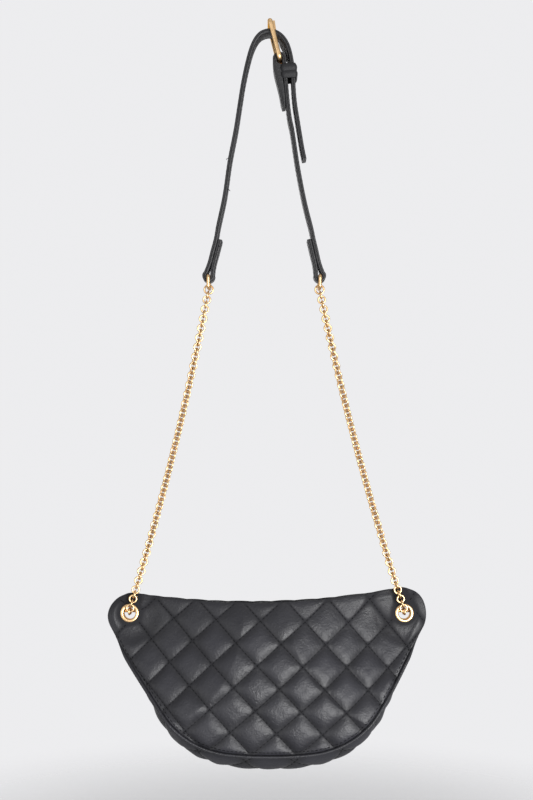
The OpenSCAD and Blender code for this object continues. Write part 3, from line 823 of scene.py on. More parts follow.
def cloth_finish(name, colour, pitch):
    """Plain woven cloth with its threads over and under."""
    look = Finish(name)
    scale = 2/(pitch*20)*2*math.pi/2
    warp, weft = (look.wave(direction, scale, 0.6, Detail=1.0) for direction in "XZ")
    weave = math_node(look.tree, "MULTIPLY", warp, weft)
    fibres = look.noise(320.0, 3.0)
    look.paint(look.mixed(weave, fibres, 0.6), colour, 0.6, 1.35)
    look.link("Roughness", look.ramp(fibres, 0.78, 0.95))
    look.set("Specular IOR Level", 0.25)
    look.set("Sheen Weight", 0.15)
    look.bump(weave, 0.5, 0.0003)
    return look.material


def thread_finish(name, colour):
    """Twisted sewing thread."""
    look = Finish(name)
    twist = look.wave("DIAGONAL", 420.0, 1.0)
    look.paint(twist, colour, 0.7, 1.4)
    look.link("Roughness", look.ramp(twist, 0.88, 0.98))
    look.set("Specular IOR Level", 0.06)
    look.bump(twist, 0.4, 0.0001)
    return look.material


def felt_finish(name, colour):
    """Matted fibre."""
    look = Finish(name)
    fibres = look.noise(900.0, 6.0)
    look.paint(fibres, colour, 0.6, 1.3, 0.3, 0.7)
    look.link("Roughness", look.ramp(fibres, 0.85, 1.0))
    look.bump(fibres, 0.6, 0.0004)
    return look.material


def gold_finish(name, colour):
    """Polished plated metal with faint rub marks."""
    look = Finish(name)
    clouds = look.noise(160.0, 4.0)
    look.paint(clouds, colour, 0.9, 1.06, 0.3, 0.7)
    look.link("Roughness", look.ramp(clouds, 0.28, 0.38, 0.3, 0.7))
    look.set("Metallic", 1.0)
    look.set("Specular Tint", (*tint(colour, 0.6), 1))
    look.bump(look.noise(2400.0, 2.0), 0.05, 0.0001)
    return look.material


def finish(name):
    """A material that several pieces share, made when it is first needed."""
    made = bpy.data.materials.get(name)
    if made:
        return made
    look = finishes()
    dull = look.leather_roughness
    maker, *values = {
        "quilted_leather": (leather_finish, look.leather, dull, 0.28, True),
        "plain_leather": (leather_finish, look.leather, dull, 0.25, False),
        "smooth_leather": (leather_finish, look.strap, 0.62, 0.24, False),
        "edge_paint": (leather_finish, look.edge, 0.50, 0.30, False),
        "sewing_thread": (thread_finish, look.thread),
        "lining_cloth": (cloth_finish, look.lining, 0.7*MM),
        "woven_tape": (cloth_finish, look.tape, 0.9*MM),
        "matted_felt": (felt_finish, look.felt),
        "polished_gold": (gold_finish, look.gold),
    }[name]
    return maker(name, *values)


def quilted_panel(quilt):
    """A quilted panel of leather over padding, closed at the back and pierced for the eyelets."""
    form, sign, belly = quilt.form, quilt.sign, quilt.belly
    flat = form.panel_grid(columns=330, rows=190, inset=0.0)
    depth, height = quilt.depth(flat)
    flat = quilt.rolled(flat)
    points = [lay(flat, sign*depth).reshape(-1, 3)]
    faces = grid_faces(*depth.shape)
    before = border(*depth.shape)
    rim = flat.reshape(-1, 2)[before]
    thick = form.leather_back(rim, belly) - form.padding_face(rim, belly)
    # The edge turns in over the padding, and the rest of the back lies on the padding's face
    turned = [rim - form.outward(rim)*inset for inset in (0.3*MM, 1.1*MM)]
    rings = [(ring, form.leather_back(ring, belly) - thick*sunk) for ring, sunk in zip(turned, (0.4, 0.8))]
    for share in (0.97, 0.9, 0.76, 0.6, 0.42, 0.24, 0.1):
        ring = form.hub + share*(rim - form.hub)
        rings.append((ring, form.padding_face(ring, belly)))
    start = depth.size
    for ring, inner in rings:
        points.append(lay(ring, sign*inner))
        after = start + np.arange(len(rim))
        faces += np.stack((before, np.roll(before, -1), np.roll(after, -1), after), axis=-1).tolist()
        before = after
        start += len(rim)
    points.append(lay(form.hub, sign*form.padding_face(form.hub, belly))[None])
    faces += [[int(a), int(b), start] for a, b in zip(before, np.roll(before, -1))]
    piece = new_piece(quilt.name + "_quilt", form.place(np.vstack(points)), faces, finish("quilted_leather"))
    # This height sets painted shade: the lower the leather on its pillow, the darker it is painted.
    mark_lift(piece, height)
    cut(piece, *eyelet_bores(form))
    return piece


def quilt_stitches(quilt):
    """The thread in the quilting's valleys."""
    form = quilt.form
    spots, ahead = (form.place(lay(p, quilt.sign*quilt.depth(p)[0])) for p in quilt.lines())
    along = unit(ahead - spots)
    out = square_to(along, form.facing(quilt.sign))
    return stitches(quilt.name + "_stitches", spots + quilt.STITCH_PROUD*out, along, out)


def quilted_side(name):
    """One quilted side of the bag with its thread."""
    quilt = Quilt(BagForm(bag_sizes()), name)
    panel = quilted_panel(quilt)
    settle(panel, "bag", "leather", name + "_panel", name + "_padding")
    settle(quilt_stitches(quilt), "bag", "leather")


class PURSE_OT_front(Operator):
    """Make the quilted front of the bag"""

    bl_idname = "purse.front"
    bl_label = "Quilted front"

    def execute(self, context):
        quilted_side("front")
        return {"FINISHED"}


class PURSE_OT_back(Operator):
    """Make the quilted back of the bag"""

    bl_idname = "purse.back"
    bl_label = "Quilted back"

    def execute(self, context):
        quilted_side("back")
        return {"FINISHED"}


class PURSE_OT_gusset(Operator):
    """Make the quilted band between the front and the back"""

    bl_idname = "purse.gusset"
    bl_label = "Gusset"

    TOP = -33*MM
    TUCK = 3.5*MM
    TUCK_ABOVE = (-56*MM, 22*MM)
    PUFF = 2.0*MM
    SINK = 1.3*MM
    SHOULDER = 8*MM
    SHOULDER_POWER = 2.3
    SEAM_HOLD = 5*MM
    CRUMPLE = 0.2*MM
    CRUMPLE_WAVE = 14*MM
    CRUMPLE_SEED = 5
    # Where the stitches end, at the band's ends and as shares of its width
    END_CLEAR = 4*MM
    SEWN = (0.07, 0.93)
    LINE_SPARE = 60*MM
    LOOK_AHEAD = 0.2*MM
    STITCH_PROUD = 0.1*MM

    def execute(self, context):
        form = BagForm(bag_sizes())
        path = form.lower_edge(self.TOP, count=420)
        band = Band(form, path, columns=45, inset=0.0, layer=form.leather_back)
        run = run_along(band.seam)
        run = run[:, None] - run[-1]/2
        side = quilt_sizes().side
        lift = 1
        for diagonal in (run + band.depth, run - band.depth):
            place = diagonal/(math.sqrt(2)*side)
            gap = np.abs(place - np.round(place))*side
            lift = lift*swelling(gap, self.SHOULDER, self.SHOULDER_POWER)
        hold = rise(np.minimum(band.share, 1 - band.share)*band.wide, 0, self.SEAM_HOLD)
        tuck = self.TUCK*rise(path[:, 1], *self.TUCK_ABOVE)
        crumple = self.CRUMPLE*ripples(run, band.depth, self.CRUMPLE_WAVE, self.CRUMPLE_SEED)
        swell = band.swell - tuck[:, None] + hold*(self.PUFF*lift - self.SINK + crumple)
        sheets = band.sheets(swell, form.sizes.leather)
        piece = sheet_piece(form, "gusset_band", sheets, finish("quilted_leather"))
        # Painted shade: the band's colour darkens in its stitched valleys and towards both seams.
        mark_lift(piece, hold*lift)
        settle(piece, "bag", "leather", "gusset")
        self.sew(form, form.place(sheets[0]), run[:, 0], band)
        return {"FINISHED"}

    def sew(self, form, points, run, band):
        """Stitches along the band's two sets of quilting lines."""
        sizes = quilt_sizes()
        reach = int((run[-1] + self.LINE_SPARE)/sizes.side)
        other = np.arange(-reach, reach, sizes.stitch_step/sizes.side)
        line, other = (grid.ravel() for grid in np.meshgrid(np.arange(-reach, reach + 1), other))
        step = self.LOOK_AHEAD/sizes.side
        lowest, highest = self.SEWN

        def on_band(u, v):
            along, depth = (u + v)*sizes.side/math.sqrt(2), (u - v)*sizes.side/math.sqrt(2)
            row = np.interp(along, run, np.arange(len(run)))
            near, far = np.interp(along, run, band.start), np.interp(along, run, band.end)
            share = (depth - near)/(far - near)
            keep = (np.abs(along) < run[-1] - self.END_CLEAR) & (share > lowest) & (share < highest)
            return grid_point(points, row, np.clip(share, 0, 1)*(points.shape[1] - 1)), keep

        centres, along = [], []
        for u, v, du, dv in ((line, other, 0, step), (other, line, step, 0)):
            here, keep = on_band(u, v)
            ahead = on_band(u + du, v + dv)[0]
            centres.append(here[keep])
            along.append(ahead[keep] - here[keep])
        centres, along = np.vstack(centres), unit(np.vstack(along))
        away = unit((centres - form.place(lay(form.hub, 0)))*np.array((1, 0, 1)))
        out = square_to(along, away)
        settle(stitches("gusset_stitches", centres + self.STITCH_PROUD*out, along, out), "bag", "leather")


class PURSE_OT_seams(Operator):
    """Make the piping along both seams, with the stitches that hold it"""

    bl_idname = "purse.seams"
    bl_label = "Seams"

    TOP = -40*MM
    THINNEST = 0.15*MM
    TAPER = 0.06
    SUNK = 0.1*MM
    PUCKER = 0.05
    PUCKER_TURN = 900
    SEWN_IN = 2.6*MM
    STITCH_PROUD = 0.12*MM

    def execute(self, context):
        form = BagForm(bag_sizes())
        path = form.lower_edge(self.TOP, count=420)
        seam = form.seam(path)
        out = form.outward(path)
        run = np.linspace(0, 1, len(path))
        thick = form.sizes.piping_radius*rise(np.minimum(run, 1 - run), 0, self.TAPER) + self.THINNEST
        centre = seam + out*(thick - self.SUNK)[:, None]
        puckered = thick*(1 + self.PUCKER*np.sin(run*self.PUCKER_TURN))
        sew_at = seam - out*self.SEWN_IN
        count = int(run_along(sew_at)[-1]/quilt_sizes().stitch_step)
        sewn = along_path(np.linspace(0, len(path) - 1, count), np.arange(len(path)), sew_at)
        for side in SIDES:
            quilt = Quilt(form, side)
            name = side + "_piping"
            depth = form.leather_back(seam, quilt.belly) + thick - self.SUNK
            spine = form.place(lay(centre, quilt.sign*depth))
            piece = new_piece(name + "_cord", *tube(spine, puckered, sides=12), finish("plain_leather"))
            settle(piece, "bag", "leather", name)
            line = form.place(lay(sewn, quilt.sign*quilt.depth(sewn)[0]))
            ahead = headings(line)
            normal = square_to(ahead, form.facing(quilt.sign))
            sewing = stitches(name + "_stitches", line + self.STITCH_PROUD*normal, ahead, normal)
            settle(sewing, "bag", "leather")
        return {"FINISHED"}


class PURSE_OT_lining(Operator):
    """Make the lining, the slip pocket and the felt at the top corners"""

    bl_idname = "purse.lining"
    bl_label = "Lining"

    WRINKLE = 0.35*MM
    WRINKLE_EASE = 0.3
    WRINKLE_WAVE = 22*MM
    WRINKLE_SEEDS = {"front": 22, "back": 21}
    BAND_TOP = -0.3
    POCKET_HALF = 58.8*MM
    # Mouth and base of the pocket, as shares of the bag's height
    POCKET_MOUTH = -0.36
    POCKET_BASE = -0.80
    POCKET_GAP = 0.9*MM
    POCKET_HEM = 0.4*MM
    POCKET_HEM_ENDS = (7*MM, 1.5*MM)
    POCKET_SLACK = 0.5*MM
    POCKET_SEWN = 58*MM
    POCKET_EASE = 20*MM
    POCKET_WAVE = 30*MM
    POCKET_SEED = 31

    def execute(self, context):
        form = BagForm(bag_sizes())
        for side in SIDES:
            self.panel(form, side)
        path = form.lower_edge(self.BAND_TOP*form.sizes.height, count=240)
        band = Band(form, path, columns=25, inset=form.HEM, layer=form.half_depth)
        sheets = band.sheets(band.swell, form.sizes.lining)
        piece = sheet_piece(form, "gusset_lining_cloth", sheets, finish("lining_cloth"))
        settle(piece, "bag", "lining", "gusset_lining")
        self.pocket(form)
        for side in ("left", "right"):
            dress("ear_stiffener_" + side, finish("matted_felt"))
        return {"FINISHED"}

    def panel(self, form, side):
        """A thin lining with a few soft wrinkles, pierced for the eyelets."""
        sign, belly = form.side(side)
        flat = form.panel_grid(columns=150, rows=90, inset=form.HEM)
        inner = form.half_depth(flat, belly)
        waves = ripples(flat[..., 0], flat[..., 1], self.WRINKLE_WAVE, self.WRINKLE_SEEDS[side])
        wrinkle = self.WRINKLE*rise(form.ease(flat), 0, self.WRINKLE_EASE)*(1 + waves)
        sheets = [lay(flat, sign*depth) for depth in (inner + form.sizes.lining, inner - wrinkle)]
        piece = sheet_piece(form, side + "_lining_cloth", sheets, finish("lining_cloth"))
        cut(piece, *eyelet_bores(form))
        settle(piece, "bag", "lining", side + "_lining")

    def pocket(self, form):
        """A slip pocket on the back lining, with a turned hem along its mouth."""
        sizes = form.sizes
        x, z = np.meshgrid(np.linspace(-self.POCKET_HALF, self.POCKET_HALF, 61),
                           np.linspace(self.POCKET_MOUTH, self.POCKET_BASE, 41)*sizes.height)
        spot = np.stack((x, z), axis=-1)
        back = form.half_depth(spot, sizes.back_belly) - self.POCKET_GAP
        below = -z + self.POCKET_MOUTH*sizes.height
        hem = self.POCKET_HEM*(1 - rise(below, *self.POCKET_HEM_ENDS))
        waves = ripples(x, z, self.POCKET_WAVE, self.POCKET_SEED)
        slack = self.POCKET_SLACK*rise(self.POCKET_SEWN - np.abs(x), 0, self.POCKET_EASE)*(1 + waves)/2
        sheets = [lay(spot, depth) for depth in (back, back - sizes.lining - hem - slack)]
        piece = sheet_piece(form, "slip_pocket", sheets, finish("lining_cloth"))
        settle(piece, "bag", "lining", "inner_pocket")


class PURSE_OT_zip(Operator):
    """Make the woven zip tapes and finish the zip's metal"""

    bl_idname = "purse.zip"
    bl_label = "Zip"

    NEAR = 0.3*MM
    LINING_GAP = 0.55*MM
    LIFT = 0.05*MM
    THICK = 0.65*MM
    RIB = 0.10*MM
    RIBS = 4
    RIBBED_PAST = 0.4

    def execute(self, context):
        form = BagForm(bag_sizes())
        sizes = form.sizes
        x = np.linspace(-sizes.zip_length/2, sizes.zip_length/2, 181)
        spot = np.column_stack((x, np.full_like(x, -sizes.zip_depth)))
        share = np.linspace(0, 1, 15)
        rib = self.RIB*np.cos(share*2*self.RIBS*math.pi)*(share > self.RIBBED_PAST)
        for side in SIDES:
            sign, belly = form.side(side)
            far = form.half_depth(spot, belly) - self.LINING_GAP
            depth = self.NEAR + (far - self.NEAR)[:, None]*share
            across = np.broadcast_to(x[:, None], depth.shape)
            low = np.full_like(depth, -sizes.zip_depth) + self.LIFT
            levels = (low + self.THICK + rib, low)
            sheets = [np.stack((across, sign*depth, level), axis=-1) for level in levels]
            piece = sheet_piece(form, f"zip_tape_{side}_woven", sheets, finish("woven_tape"), soft=False)
            settle(piece, "bag", "zip_tape", "zip_tape_" + side)
        for name in ("teeth_front", "teeth_back", "stops", "slider", "pull"):
            dress("zip_" + name, finish("polished_gold"))
        return {"FINISHED"}


# Places and routes of the straps in the front plane, in millimetres, each from its ring up
LEFT_LOOP = np.array((-50.8, -210.7))
RIGHT_LOOP = np.array((46, -210.7))
LEFT_LEAN = math.radians(14.8)
RIGHT_LEAN = math.radians(-13.3)
HEEL = np.array((10.9, -22.3))
FRONT_BAR = np.array((2.6, 10.1))
KEEPER_AT = np.array((19, -33))
KEEPER_LEAN = math.radians(-4.6)
LONG_LEG = [(-42.4, -168), (-36.8, -141.8), (-32.2, -110.3), (-27.1, -84), (-23, -57.8), (-20.5, -42.4),
            (-16.1, -22.4), (-11.9, -9.5), (-6.6, -1.4)]
CROWN = [(0, 1.75), (6.2, 1.35), (12.3, -2.2), (16.8, -8), (19.7, -15.5), (21.4, -24)]
TAIL = [(22.3, -33), (23.9, -57.8), (27.1, -78.8), (30.6, -99.8), (32.6, -109.4)]
SHORT_LEG = [(38.8, -171), (32.8, -147), (26.7, -115.5), (21.9, -84), (19.7, -73.5), (17.8, -57.8),
             (15.9, -36)]
SHORT_END = [(7.6, -31.5), (10.2, -42.4), (12.8, -53.4), (14.5, -63.9)]
# Distances from the short strap's end and how far it is filled there, in millimetres
FULL_END = ((0, 12, 24, 36.5, 39), (0, 1.3, 2.6, 5.0, 0))
# How much thinner the folded layer gets toward its end
PARED = 0.7*MM
PARED_LENGTH = 4*MM
# Slight unevenness of the strap's thickness, and its step from one section to the next
UNEVEN = 0.012
UNEVEN_STEP = 0.37
# How far a face looks sideways when it is part of a painted edge
EDGE_SLOPE = 0.7
# Start and span of the steps between which the long strap is turned
TURN_RIGHT_OF = (6*MM, 8*MM)
TURN_FROM = (0, 8*MM)
TURN_TO = (16*MM, 10*MM)
# Start, bend and end of each loose thread, in millimetres
LOOSE_THREADS = [((-32.8, -11.4, -109.0), (-34.6, -12.6, -108.8), (-35.1, -12.5, -110.4)),
                 ((-34.8, -11.4, -135.6), (-33.0, -12.5, -135.9), (-31.9, -12.6, -137.6)),
                 ((-42.6, -11.4, -184.6), (-41.2, -12.6, -184.6), (-40.7, -12.4, -186.0))]
# Room between a strap and what it goes round, in millimetres
FOLD_GAP = 0.3


def fold(centre, lean, side, sizes):
    """Route of a strap end round its ring, from its loose end to the strap's own layer, in millimetres."""
    up = np.array((math.sin(lean), math.cos(lean)))
    out = side*np.array((math.cos(lean), -math.sin(lean)))
    length = sizes.fold_length/MM
    radius = (sizes.ring_radius + sizes.thickness/2)/MM + FOLD_GAP
    apart = sizes.thickness/MM + FOLD_GAP
    stops = (0.33, 0.65, 1)
    bend = np.radians(range(-35, 216, 25))
    return ([centre + up*length*stop + out*apart/2 for stop in reversed(stops)]
            + [centre + radius*(out*math.cos(a) - up*math.sin(a)) for a in bend]
            + [centre + up*length*stop - out*apart/2 for stop in stops])


def smooth_route(points, steps=6):
    """A smooth curve through points in millimetres, with a number of steps from each to the next."""
    points = np.array(points, float)
    before = np.vstack((points[:1], points[:-1]))
    after = np.vstack((points[1:], points[-1:]))
    heading = unit(after - before)
    curve = []
    for i in range(len(points) - 1):
        a, b = points[i], points[i + 1]
        length = np.linalg.norm(b - a)
        u, v = length*heading[i], length*heading[i + 1]
        for t in np.arange(steps)/steps:
            curve.append(a + t*u + t*t*(3*(b - a) - 2*u - v) + t**3*(2*(a - b) + u + v))
    return np.vstack((curve, points[-1:]))*MM


def long_route(sizes):
    return smooth_route(fold(LEFT_LOOP, LEFT_LEAN, 1, sizes) + LONG_LEG + CROWN + TAIL)


def short_route(sizes):
    radius = (sizes.bar_radius + sizes.thickness/2)/MM + FOLD_GAP
    bend = [HEEL + radius*np.array((math.cos(a), math.sin(a))) for a in np.radians(range(-15, 196, 30))]
    return smooth_route(fold(RIGHT_LOOP, RIGHT_LEAN, -1, sizes) + SHORT_LEG + bend + SHORT_END)


def strap_section(sizes):
    """Half-round edges with a line between the two layers, and a shallow channel under each stitch row."""
    half, wide, bend = sizes.thickness/2, sizes.width/2, sizes.edge_round
    row = wide - sizes.seam_inset
    channel, channel_half, groove_half = 0.25*MM, 0.7*MM, 0.28*MM
    face = [(half, 0), (half, row - channel_half), (half - channel, row), (half, row + channel_half)]
    corner = [(half - bend + bend*math.cos(a), wide - bend + bend*math.sin(a))
              for a in np.radians((0, 22.5, 45, 67.5, 90))]
    quarter = face + corner + [(groove_half, wide), (0, wide - sizes.edge_groove)]
    upper = quarter + [(-n, y) for n, y in quarter[-2::-1]]
    return np.array(upper + [(n, -y) for n, y in upper[-2:0:-1]])


def sides_of(route):
    """Directions square to a route in the front plane."""
    ahead = headings(route)
    return np.column_stack((-ahead[:, 1], ahead[:, 0]))


def strap_piece(name, route, sizes, full_end=False):
    """A strap swept along a route in the front plane. A full end fills the gap to the layer beside it."""
    section = strap_section(sizes)
    side = sides_of(route)
    wobble = 1 + UNEVEN*np.sin(np.arange(len(route))*UNEVEN_STEP)
    across = section[None, :, 0]*wobble[:, None]
    if full_end:
        left = run_along(route[::-1])[::-1]
        fill = MM*np.interp(left/MM, *FULL_END)
        pare = PARED*(1 - rise(left, 0, PARED_LENGTH))
        across = across + np.where(section[:, 0] > 0, fill[:, None], pare[:, None])
    flat = route[:, None] + across[..., None]*side[:, None]
    points = lay(flat, np.broadcast_to(section[None, :, 1], across.shape))
    count = len(section)
    faces = grid_faces(len(route), count, wrap=True)
    faces += [list(range(count)), list(range((len(route) - 1)*count, len(route)*count))]
    piece = new_piece(name, points, faces, finish("smooth_leather"))
    piece.data.materials.append(finish("edge_paint"))
    for face in piece.data.polygons:
        face.material_index = int(abs(face.normal.y) > EDGE_SLOPE)
    return piece


def turn_in(piece, sizes):
    """Turn the strap a little beside the buckle. Its far edge is drawn in and its near edge stays."""
    points = np.empty(3*len(piece.data.vertices), np.float32)
    piece.data.vertices.foreach_get("co", points)
    points = points.reshape(-1, 3)
    x, y, z = points.T
    beside = rise(x, *TURN_RIGHT_OF)*rise(-z, *TURN_FROM)*(1 - rise(-z, *TURN_TO))
    points[:, 0] -= sizes.turn_in*beside*(y/sizes.width + 0.5)
    piece.data.vertices.foreach_set("co", points.ravel())
    return piece


def loose_thread(name, start, bend, end):
    """A short end of thread that has worked loose, through three points in millimetres."""
    t = np.linspace(0, 1, 9)[:, None]
    path = (1 - t)**2*np.array(start) + 2*t*(1 - t)*np.array(bend) + t*t*np.array(end)
    return new_piece(name, *tube(path*MM, quilt_sizes().thread_radius, sides=8), finish("sewing_thread"))


def strap_stitches(name, route, sizes, bare=0.0):
    """Two rows of stitches on each face of a strap, but none over its last bare length."""
    first, last, spread, sunk = 3*MM, 2*MM, 1.1, 0.1*MM
    run = run_along(route)
    step = np.arange(first, run[-1] - last - bare, quilt_sizes().stitch_step*spread)
    at = along_path(step, run, route)
    side = unit(along_path(step, run, sides_of(route)))
    centres, along, out = [], [], []
    for face in (-1, 1):
        for edge in (-1, 1):
            spot = at + face*side*(sizes.thickness/2 - sunk)
            centres.append(lay(spot, np.full(len(spot), edge*(sizes.width/2 - sizes.seam_inset))))
            along.append(np.column_stack((side[:, 1], np.zeros(len(spot)), -side[:, 0])))
            out.append(face*lay(side, np.zeros(len(spot))))
    return stitches(name, np.vstack(centres), np.vstack(along), np.vstack(out))


def punch(spot, ahead, sizes):
    """A round-ended hole through the strap at a point of its route."""
    reach = (sizes.hole_length - sizes.hole_width)/2
    right = arc((reach, 0), sizes.hole_width/2, -math.pi/2, math.pi/2, 13)
    ring = np.vstack((right, -right))
    along = np.array((ahead[0], 0, ahead[1]))
    side = np.array((-ahead[1], 0, ahead[0]))
    points = lay(spot, 0) + ring[:, :1]*along + ring[:, 1:]*np.array((0, 1, 0))
    return prism(points, 1.4*sizes.thickness*side)


class PURSE_OT_strap(Operator):
    """Make both lengths of the strap with their stitching, holes and loose thread ends"""

    bl_idname = "purse.strap"
    bl_label = "Strap"

    BARE_END = 40*MM
    # The slot round the buckle's heel bar that the prong turns in
    SLOT_HALF = 2.3*MM
    SLOT_LOW = -4.1*MM
    SLOT_HIGH = 14*MM
    SLOT_REACH = 12*MM
    # How far the prong's tip lies off the front bar, in millimetres
    TIP_OFF = 3.5
    HOLE_AHEAD = 1*MM

    def execute(self, context):
        sizes = strap_sizes()
        route = long_route(sizes)
        long_strap = strap_piece("long_strap", route, sizes)
        self.punch_holes(long_strap, route, sizes)
        settle(turn_in(long_strap, sizes), "strap", "strap_leather", "strap_long")
        settle(turn_in(strap_stitches("long_strap_stitches", route, sizes), sizes), "strap", "strap_leather")
        for number, points in enumerate(LOOSE_THREADS, 1):
            settle(loose_thread(f"loose_thread_{number}", *points), "strap", "strap_leather")
        route = short_route(sizes)
        short_strap = strap_piece("short_strap", route, sizes, full_end=True)
        corners = ((-1, self.SLOT_LOW), (1, self.SLOT_LOW), (1, self.SLOT_HIGH), (-1, self.SLOT_HIGH))
        ring = np.array([(0, side*self.SLOT_HALF, z) for side, z in corners]) + lay(HEEL*MM, 0)
        cut(short_strap, *prism(ring, np.array((self.SLOT_REACH, 0, 0))))
        settle(short_strap, "strap", "strap_leather", "strap_short")
        sewing = strap_stitches("short_strap_stitches", route, sizes, self.BARE_END)
        settle(sewing, "strap", "strap_leather")
        return {"FINISHED"}

    def punch_holes(self, piece, route, sizes):
        """The hole on the prong, and the rest along the tail and back along the leg."""
        direction = unit(FRONT_BAR - HEEL)
        tip = FRONT_BAR + self.TIP_OFF*np.array((direction[1], -direction[0]))
        lean = unit(tip - HEEL)
        cross = (HEEL + lean*(CROWN[1][1] - HEEL[1])/lean[1])*MM
        near = int(np.argmin(np.linalg.norm(route - cross, axis=1)))
        ahead = headings(route)
        run = run_along(route)
        cut(piece, *punch(cross + self.HOLE_AHEAD*ahead[near], ahead[near], sizes))
        for number in (-2, -1, 1, 2, 3, 4):
            index = int(np.argmin(np.abs(run - run[near] - number*sizes.hole_step)))
            cut(piece, *punch(route[index], ahead[index], sizes))


class PURSE_OT_keeper(Operator):
    """Make the keeper that holds the tail against the strap"""

    bl_idname = "purse.keeper"
    bl_label = "Keeper"

    LAYERS_APART = 6.6*MM
    ROOM = 0.3*MM
    BEND = 1.6*MM
    RIDGE_SPREAD = 1.16
    EDGE_DROP = 0.75
    EDGE_POWER = 9

    def execute(self, context):
        sizes = strap_sizes()
        across = (self.LAYERS_APART + sizes.thickness + 2*self.ROOM)/2 - self.BEND
        wide = sizes.width/2 + self.ROOM - self.BEND
        turn = np.radians(np.linspace(np.arange(0, 360, 90), np.arange(90, 450, 90), 9).T)
        normal = np.stack((np.cos(turn), np.sin(turn)), axis=-1)
        corners = np.array(((across, wide), (-across, wide), (-across, -wide), (across, -wide)))
        loop = (corners[:, None] + self.BEND*normal).reshape(-1, 2)
        normal = normal.reshape(-1, 2)
        half = sizes.keeper_length/2
        run = np.linspace(-1, 1, 33)
        ridge = sizes.keeper_ridge*np.clip(np.sin((np.abs(run)*self.RIDGE_SPREAD)*math.pi), 0, 1)
        wall = sizes.keeper_wall*np.sqrt(1 - self.EDGE_DROP*np.abs(run)**self.EDGE_POWER)
        outside = np.column_stack((wall + ridge, run*half))
        inside = np.column_stack((np.zeros(17), np.linspace(1, -1, 17)*(half - self.ROOM)))
        section = np.vstack((outside, inside))
        grown = loop[:, None] + normal[:, None]*section[None, :, :1]
        height = np.broadcast_to(section[None, :, 1], grown.shape[:2])
        cos, sin = math.cos(KEEPER_LEAN), math.sin(KEEPER_LEAN)
        x = KEEPER_AT[0]*MM + grown[..., 0]*cos + height*sin
        z = KEEPER_AT[1]*MM - grown[..., 0]*sin + height*cos
        points = np.stack((x, grown[..., 1], z), axis=-1)
        count = len(section)
        faces = grid_faces(len(loop), count, wrap=True)
        last = (len(loop) - 1)*count
        faces += [[last + i, last + (i + 1) % count, (i + 1) % count, i] for i in range(count)]
        piece = new_piece("keeper_band", points, faces, finish("smooth_leather"))
        settle(piece, "strap", "strap_leather", "strap_keeper")
        return {"FINISHED"}


class PURSE_OT_hardware(Operator):
    """Finish the chains, rings, eyelets and buckle in gold"""

    bl_idname = "purse.hardware"
    bl_label = "Gold fittings"

    def execute(self, context):
        for side in ("left", "right"):
            for name in ("eyelet", "eyelet_washer", "end_link", "toggle_bar", "chain", "top_link", "ring"):
                dress(name + "_" + side, finish("polished_gold"))
        dress("buckle_frame", finish("polished_gold"))
        dress("buckle_prong", finish("polished_gold"))
        return {"FINISHED"}


def softbox(name, place, aim, width, height, watts):
    """A soft rectangular lamp that faces a point."""
    data = bpy.data.lights.new(name, "AREA")
    data.shape = "RECTANGLE"
    data.size = width
    data.size_y = height
    data.energy = watts
    lamp = bpy.data.objects.new(name, data)
    lamp.location = place
    lamp.rotation_euler = (Vector(aim) - Vector(place)).to_track_quat("-Z", "Y").to_euler()
    bpy.context.scene.collection.objects.link(lamp)


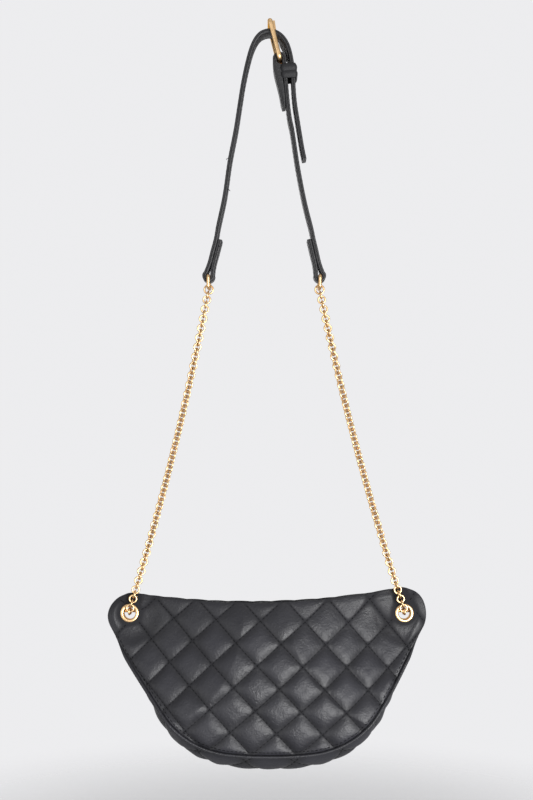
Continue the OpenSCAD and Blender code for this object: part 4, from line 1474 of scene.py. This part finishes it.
class PURSE_OT_stage(Operator):
    """Set up the floor, the soft light, the background and the camera"""

    bl_idname = "purse.stage"
    bl_label = "Studio"

    MIDDLE = (0, 0, -0.45)
    LOWER_BAG = (0, 0, -0.58)
    CAMERA_AT = (-0.0004, -1.3, -0.3185)
    CAMERA_LENS = 66.9
    FLOOR_HEIGHT = -0.72
    FLOOR_RADIUS = 0.5
    FADE_START = 0.16
    FADE_END = 0.49
    WORLD_LIGHT = 0.35

    def execute(self, context):
        scene = context.scene
        scene.view_settings.view_transform = "Standard"
        self.floor()
        self.world(scene)
        softbox("key_light", (0.75, -1.5, -0.66), self.LOWER_BAG, width=1.1, height=0.9, watts=69)
        softbox("fill_light", (-1.1, -1.25, -0.5), self.MIDDLE, width=0.9, height=1.2, watts=8)
        softbox("top_light", (0.1, -0.2, 1.2), self.MIDDLE, width=1.2, height=1.2, watts=2)
        softbox("back_light", (-0.5, 1.7, 0.1), self.MIDDLE, width=1.6, height=1.6, watts=14)
        data = bpy.data.cameras.new("camera")
        data.lens = self.CAMERA_LENS
        data.sensor_width = 36
        data.clip_start = 0.01
        camera = bpy.data.objects.new("camera", data)
        camera.location = self.CAMERA_AT
        camera.rotation_euler = (math.pi/2, 0, 0)
        scene.collection.objects.link(camera)
        scene.camera = camera
        return {"FINISHED"}

    def floor(self):
        """A pale round floor below the hanging bag that fades into the background."""
        rings, sides = 12, 96
        radius = np.linspace(0, self.FLOOR_RADIUS, rings + 1)[1:, None]
        turn = full_turn(sides)
        x, y = radius*np.cos(turn), radius*np.sin(turn)
        points = np.stack((x, y, np.full_like(x, self.FLOOR_HEIGHT)), axis=-1)
        faces = grid_faces(rings, sides, wrap=True) + [list(range(sides))]
        look = Finish("studio_floor")
        look.paint(look.noise(60.0, 3.0), finishes().floor, 0.985, 1.01)
        look.set("Roughness", 0.9)
        look.set("Specular IOR Level", 0.1)
        flat = add(look.tree, "VectorMath", {0: look.place, 1: (1, 1, 0)}, operation="MULTIPLY")
        away = add(look.tree, "VectorMath", {0: flat.outputs["Vector"]}, operation="LENGTH")
        ends = {"From Min": self.FADE_START, "From Max": self.FADE_END, "To Min": 1.0, "To Max": 0.0}
        fade = add(look.tree, "MapRange", {"Value": away.outputs["Value"], **ends},
                   interpolation_type="SMOOTHSTEP")
        look.link("Alpha", fade.outputs["Result"])
        piece = new_piece("floor", points, faces, look.material)
        if piece.data.polygons[0].normal.z < 0:
            piece.data.flip_normals()

    def world(self, scene):
        """Pale to the eye and in reflections, with a plain soft light of its own."""
        world = bpy.data.worlds.new("studio")
        world.use_nodes = True
        scene.world = world
        tree = world.node_tree
        path = add(tree, "LightPath").outputs
        seen = math_node(tree, "MAXIMUM", path["Is Camera Ray"], path["Is Glossy Ray"])
        seen = math_node(tree, "MAXIMUM", seen, path["Is Transmission Ray"])
        light = next(node for node in tree.nodes if node.type == "BACKGROUND")
        light.inputs["Color"].default_value = (1, 1, 1, 1)
        light.inputs["Strength"].default_value = self.WORLD_LIGHT
        sight = add(tree, "Background", {"Color": (*finishes().backdrop, 1), "Strength": 1.0})
        both = add(tree, "MixShader", {0: seen, 1: light.outputs[0], 2: sight.outputs[0]})
        output = next(node for node in tree.nodes if node.type == "OUTPUT_WORLD")
        tree.links.new(both.outputs[0], output.inputs["Surface"])


class PURSE_PT_panel(Panel):
    """The purse's makers and sizes"""

    bl_idname = "PURSE_PT_panel"
    bl_label = "Purse"
    bl_space_type = "VIEW_3D"
    bl_region_type = "UI"
    bl_category = "Purse"

    def draw(self, context):
        for operator in OPERATORS:
            self.layout.operator(operator.bl_idname)
        for group in GROUPS:
            box = self.layout.box()
            sizes = getattr(context.scene, group)
            for name in sizes.__annotations__:
                box.prop(sizes, name)


OPERATORS = (PURSE_OT_stage, PURSE_OT_front, PURSE_OT_back, PURSE_OT_gusset, PURSE_OT_seams,
             PURSE_OT_lining, PURSE_OT_zip, PURSE_OT_strap, PURSE_OT_keeper, PURSE_OT_hardware)
GROUPS = {"purse_bag": BagSizes, "purse_quilt": QuiltSizes, "purse_strap": StrapSizes,
          "purse_finishes": Finishes}
CLASSES = (*GROUPS.values(), *OPERATORS, PURSE_PT_panel)


def register():
    for cls in CLASSES:
        bpy.utils.register_class(cls)
    for name, group in GROUPS.items():
        setattr(bpy.types.Scene, name, PointerProperty(type=group))


def unregister():
    for name in GROUPS:
        delattr(bpy.types.Scene, name)
    for cls in reversed(CLASSES):
        bpy.utils.unregister_class(cls)


def main():
    register()
    bpy.ops.purse.stage()
    bpy.ops.purse.front()
    bpy.ops.purse.back()
    bpy.ops.purse.gusset()
    bpy.ops.purse.seams()
    bpy.ops.purse.lining()
    bpy.ops.purse.zip()
    bpy.ops.purse.strap()
    bpy.ops.purse.keeper()
    bpy.ops.purse.hardware()


if __name__ == "__main__":
    main()
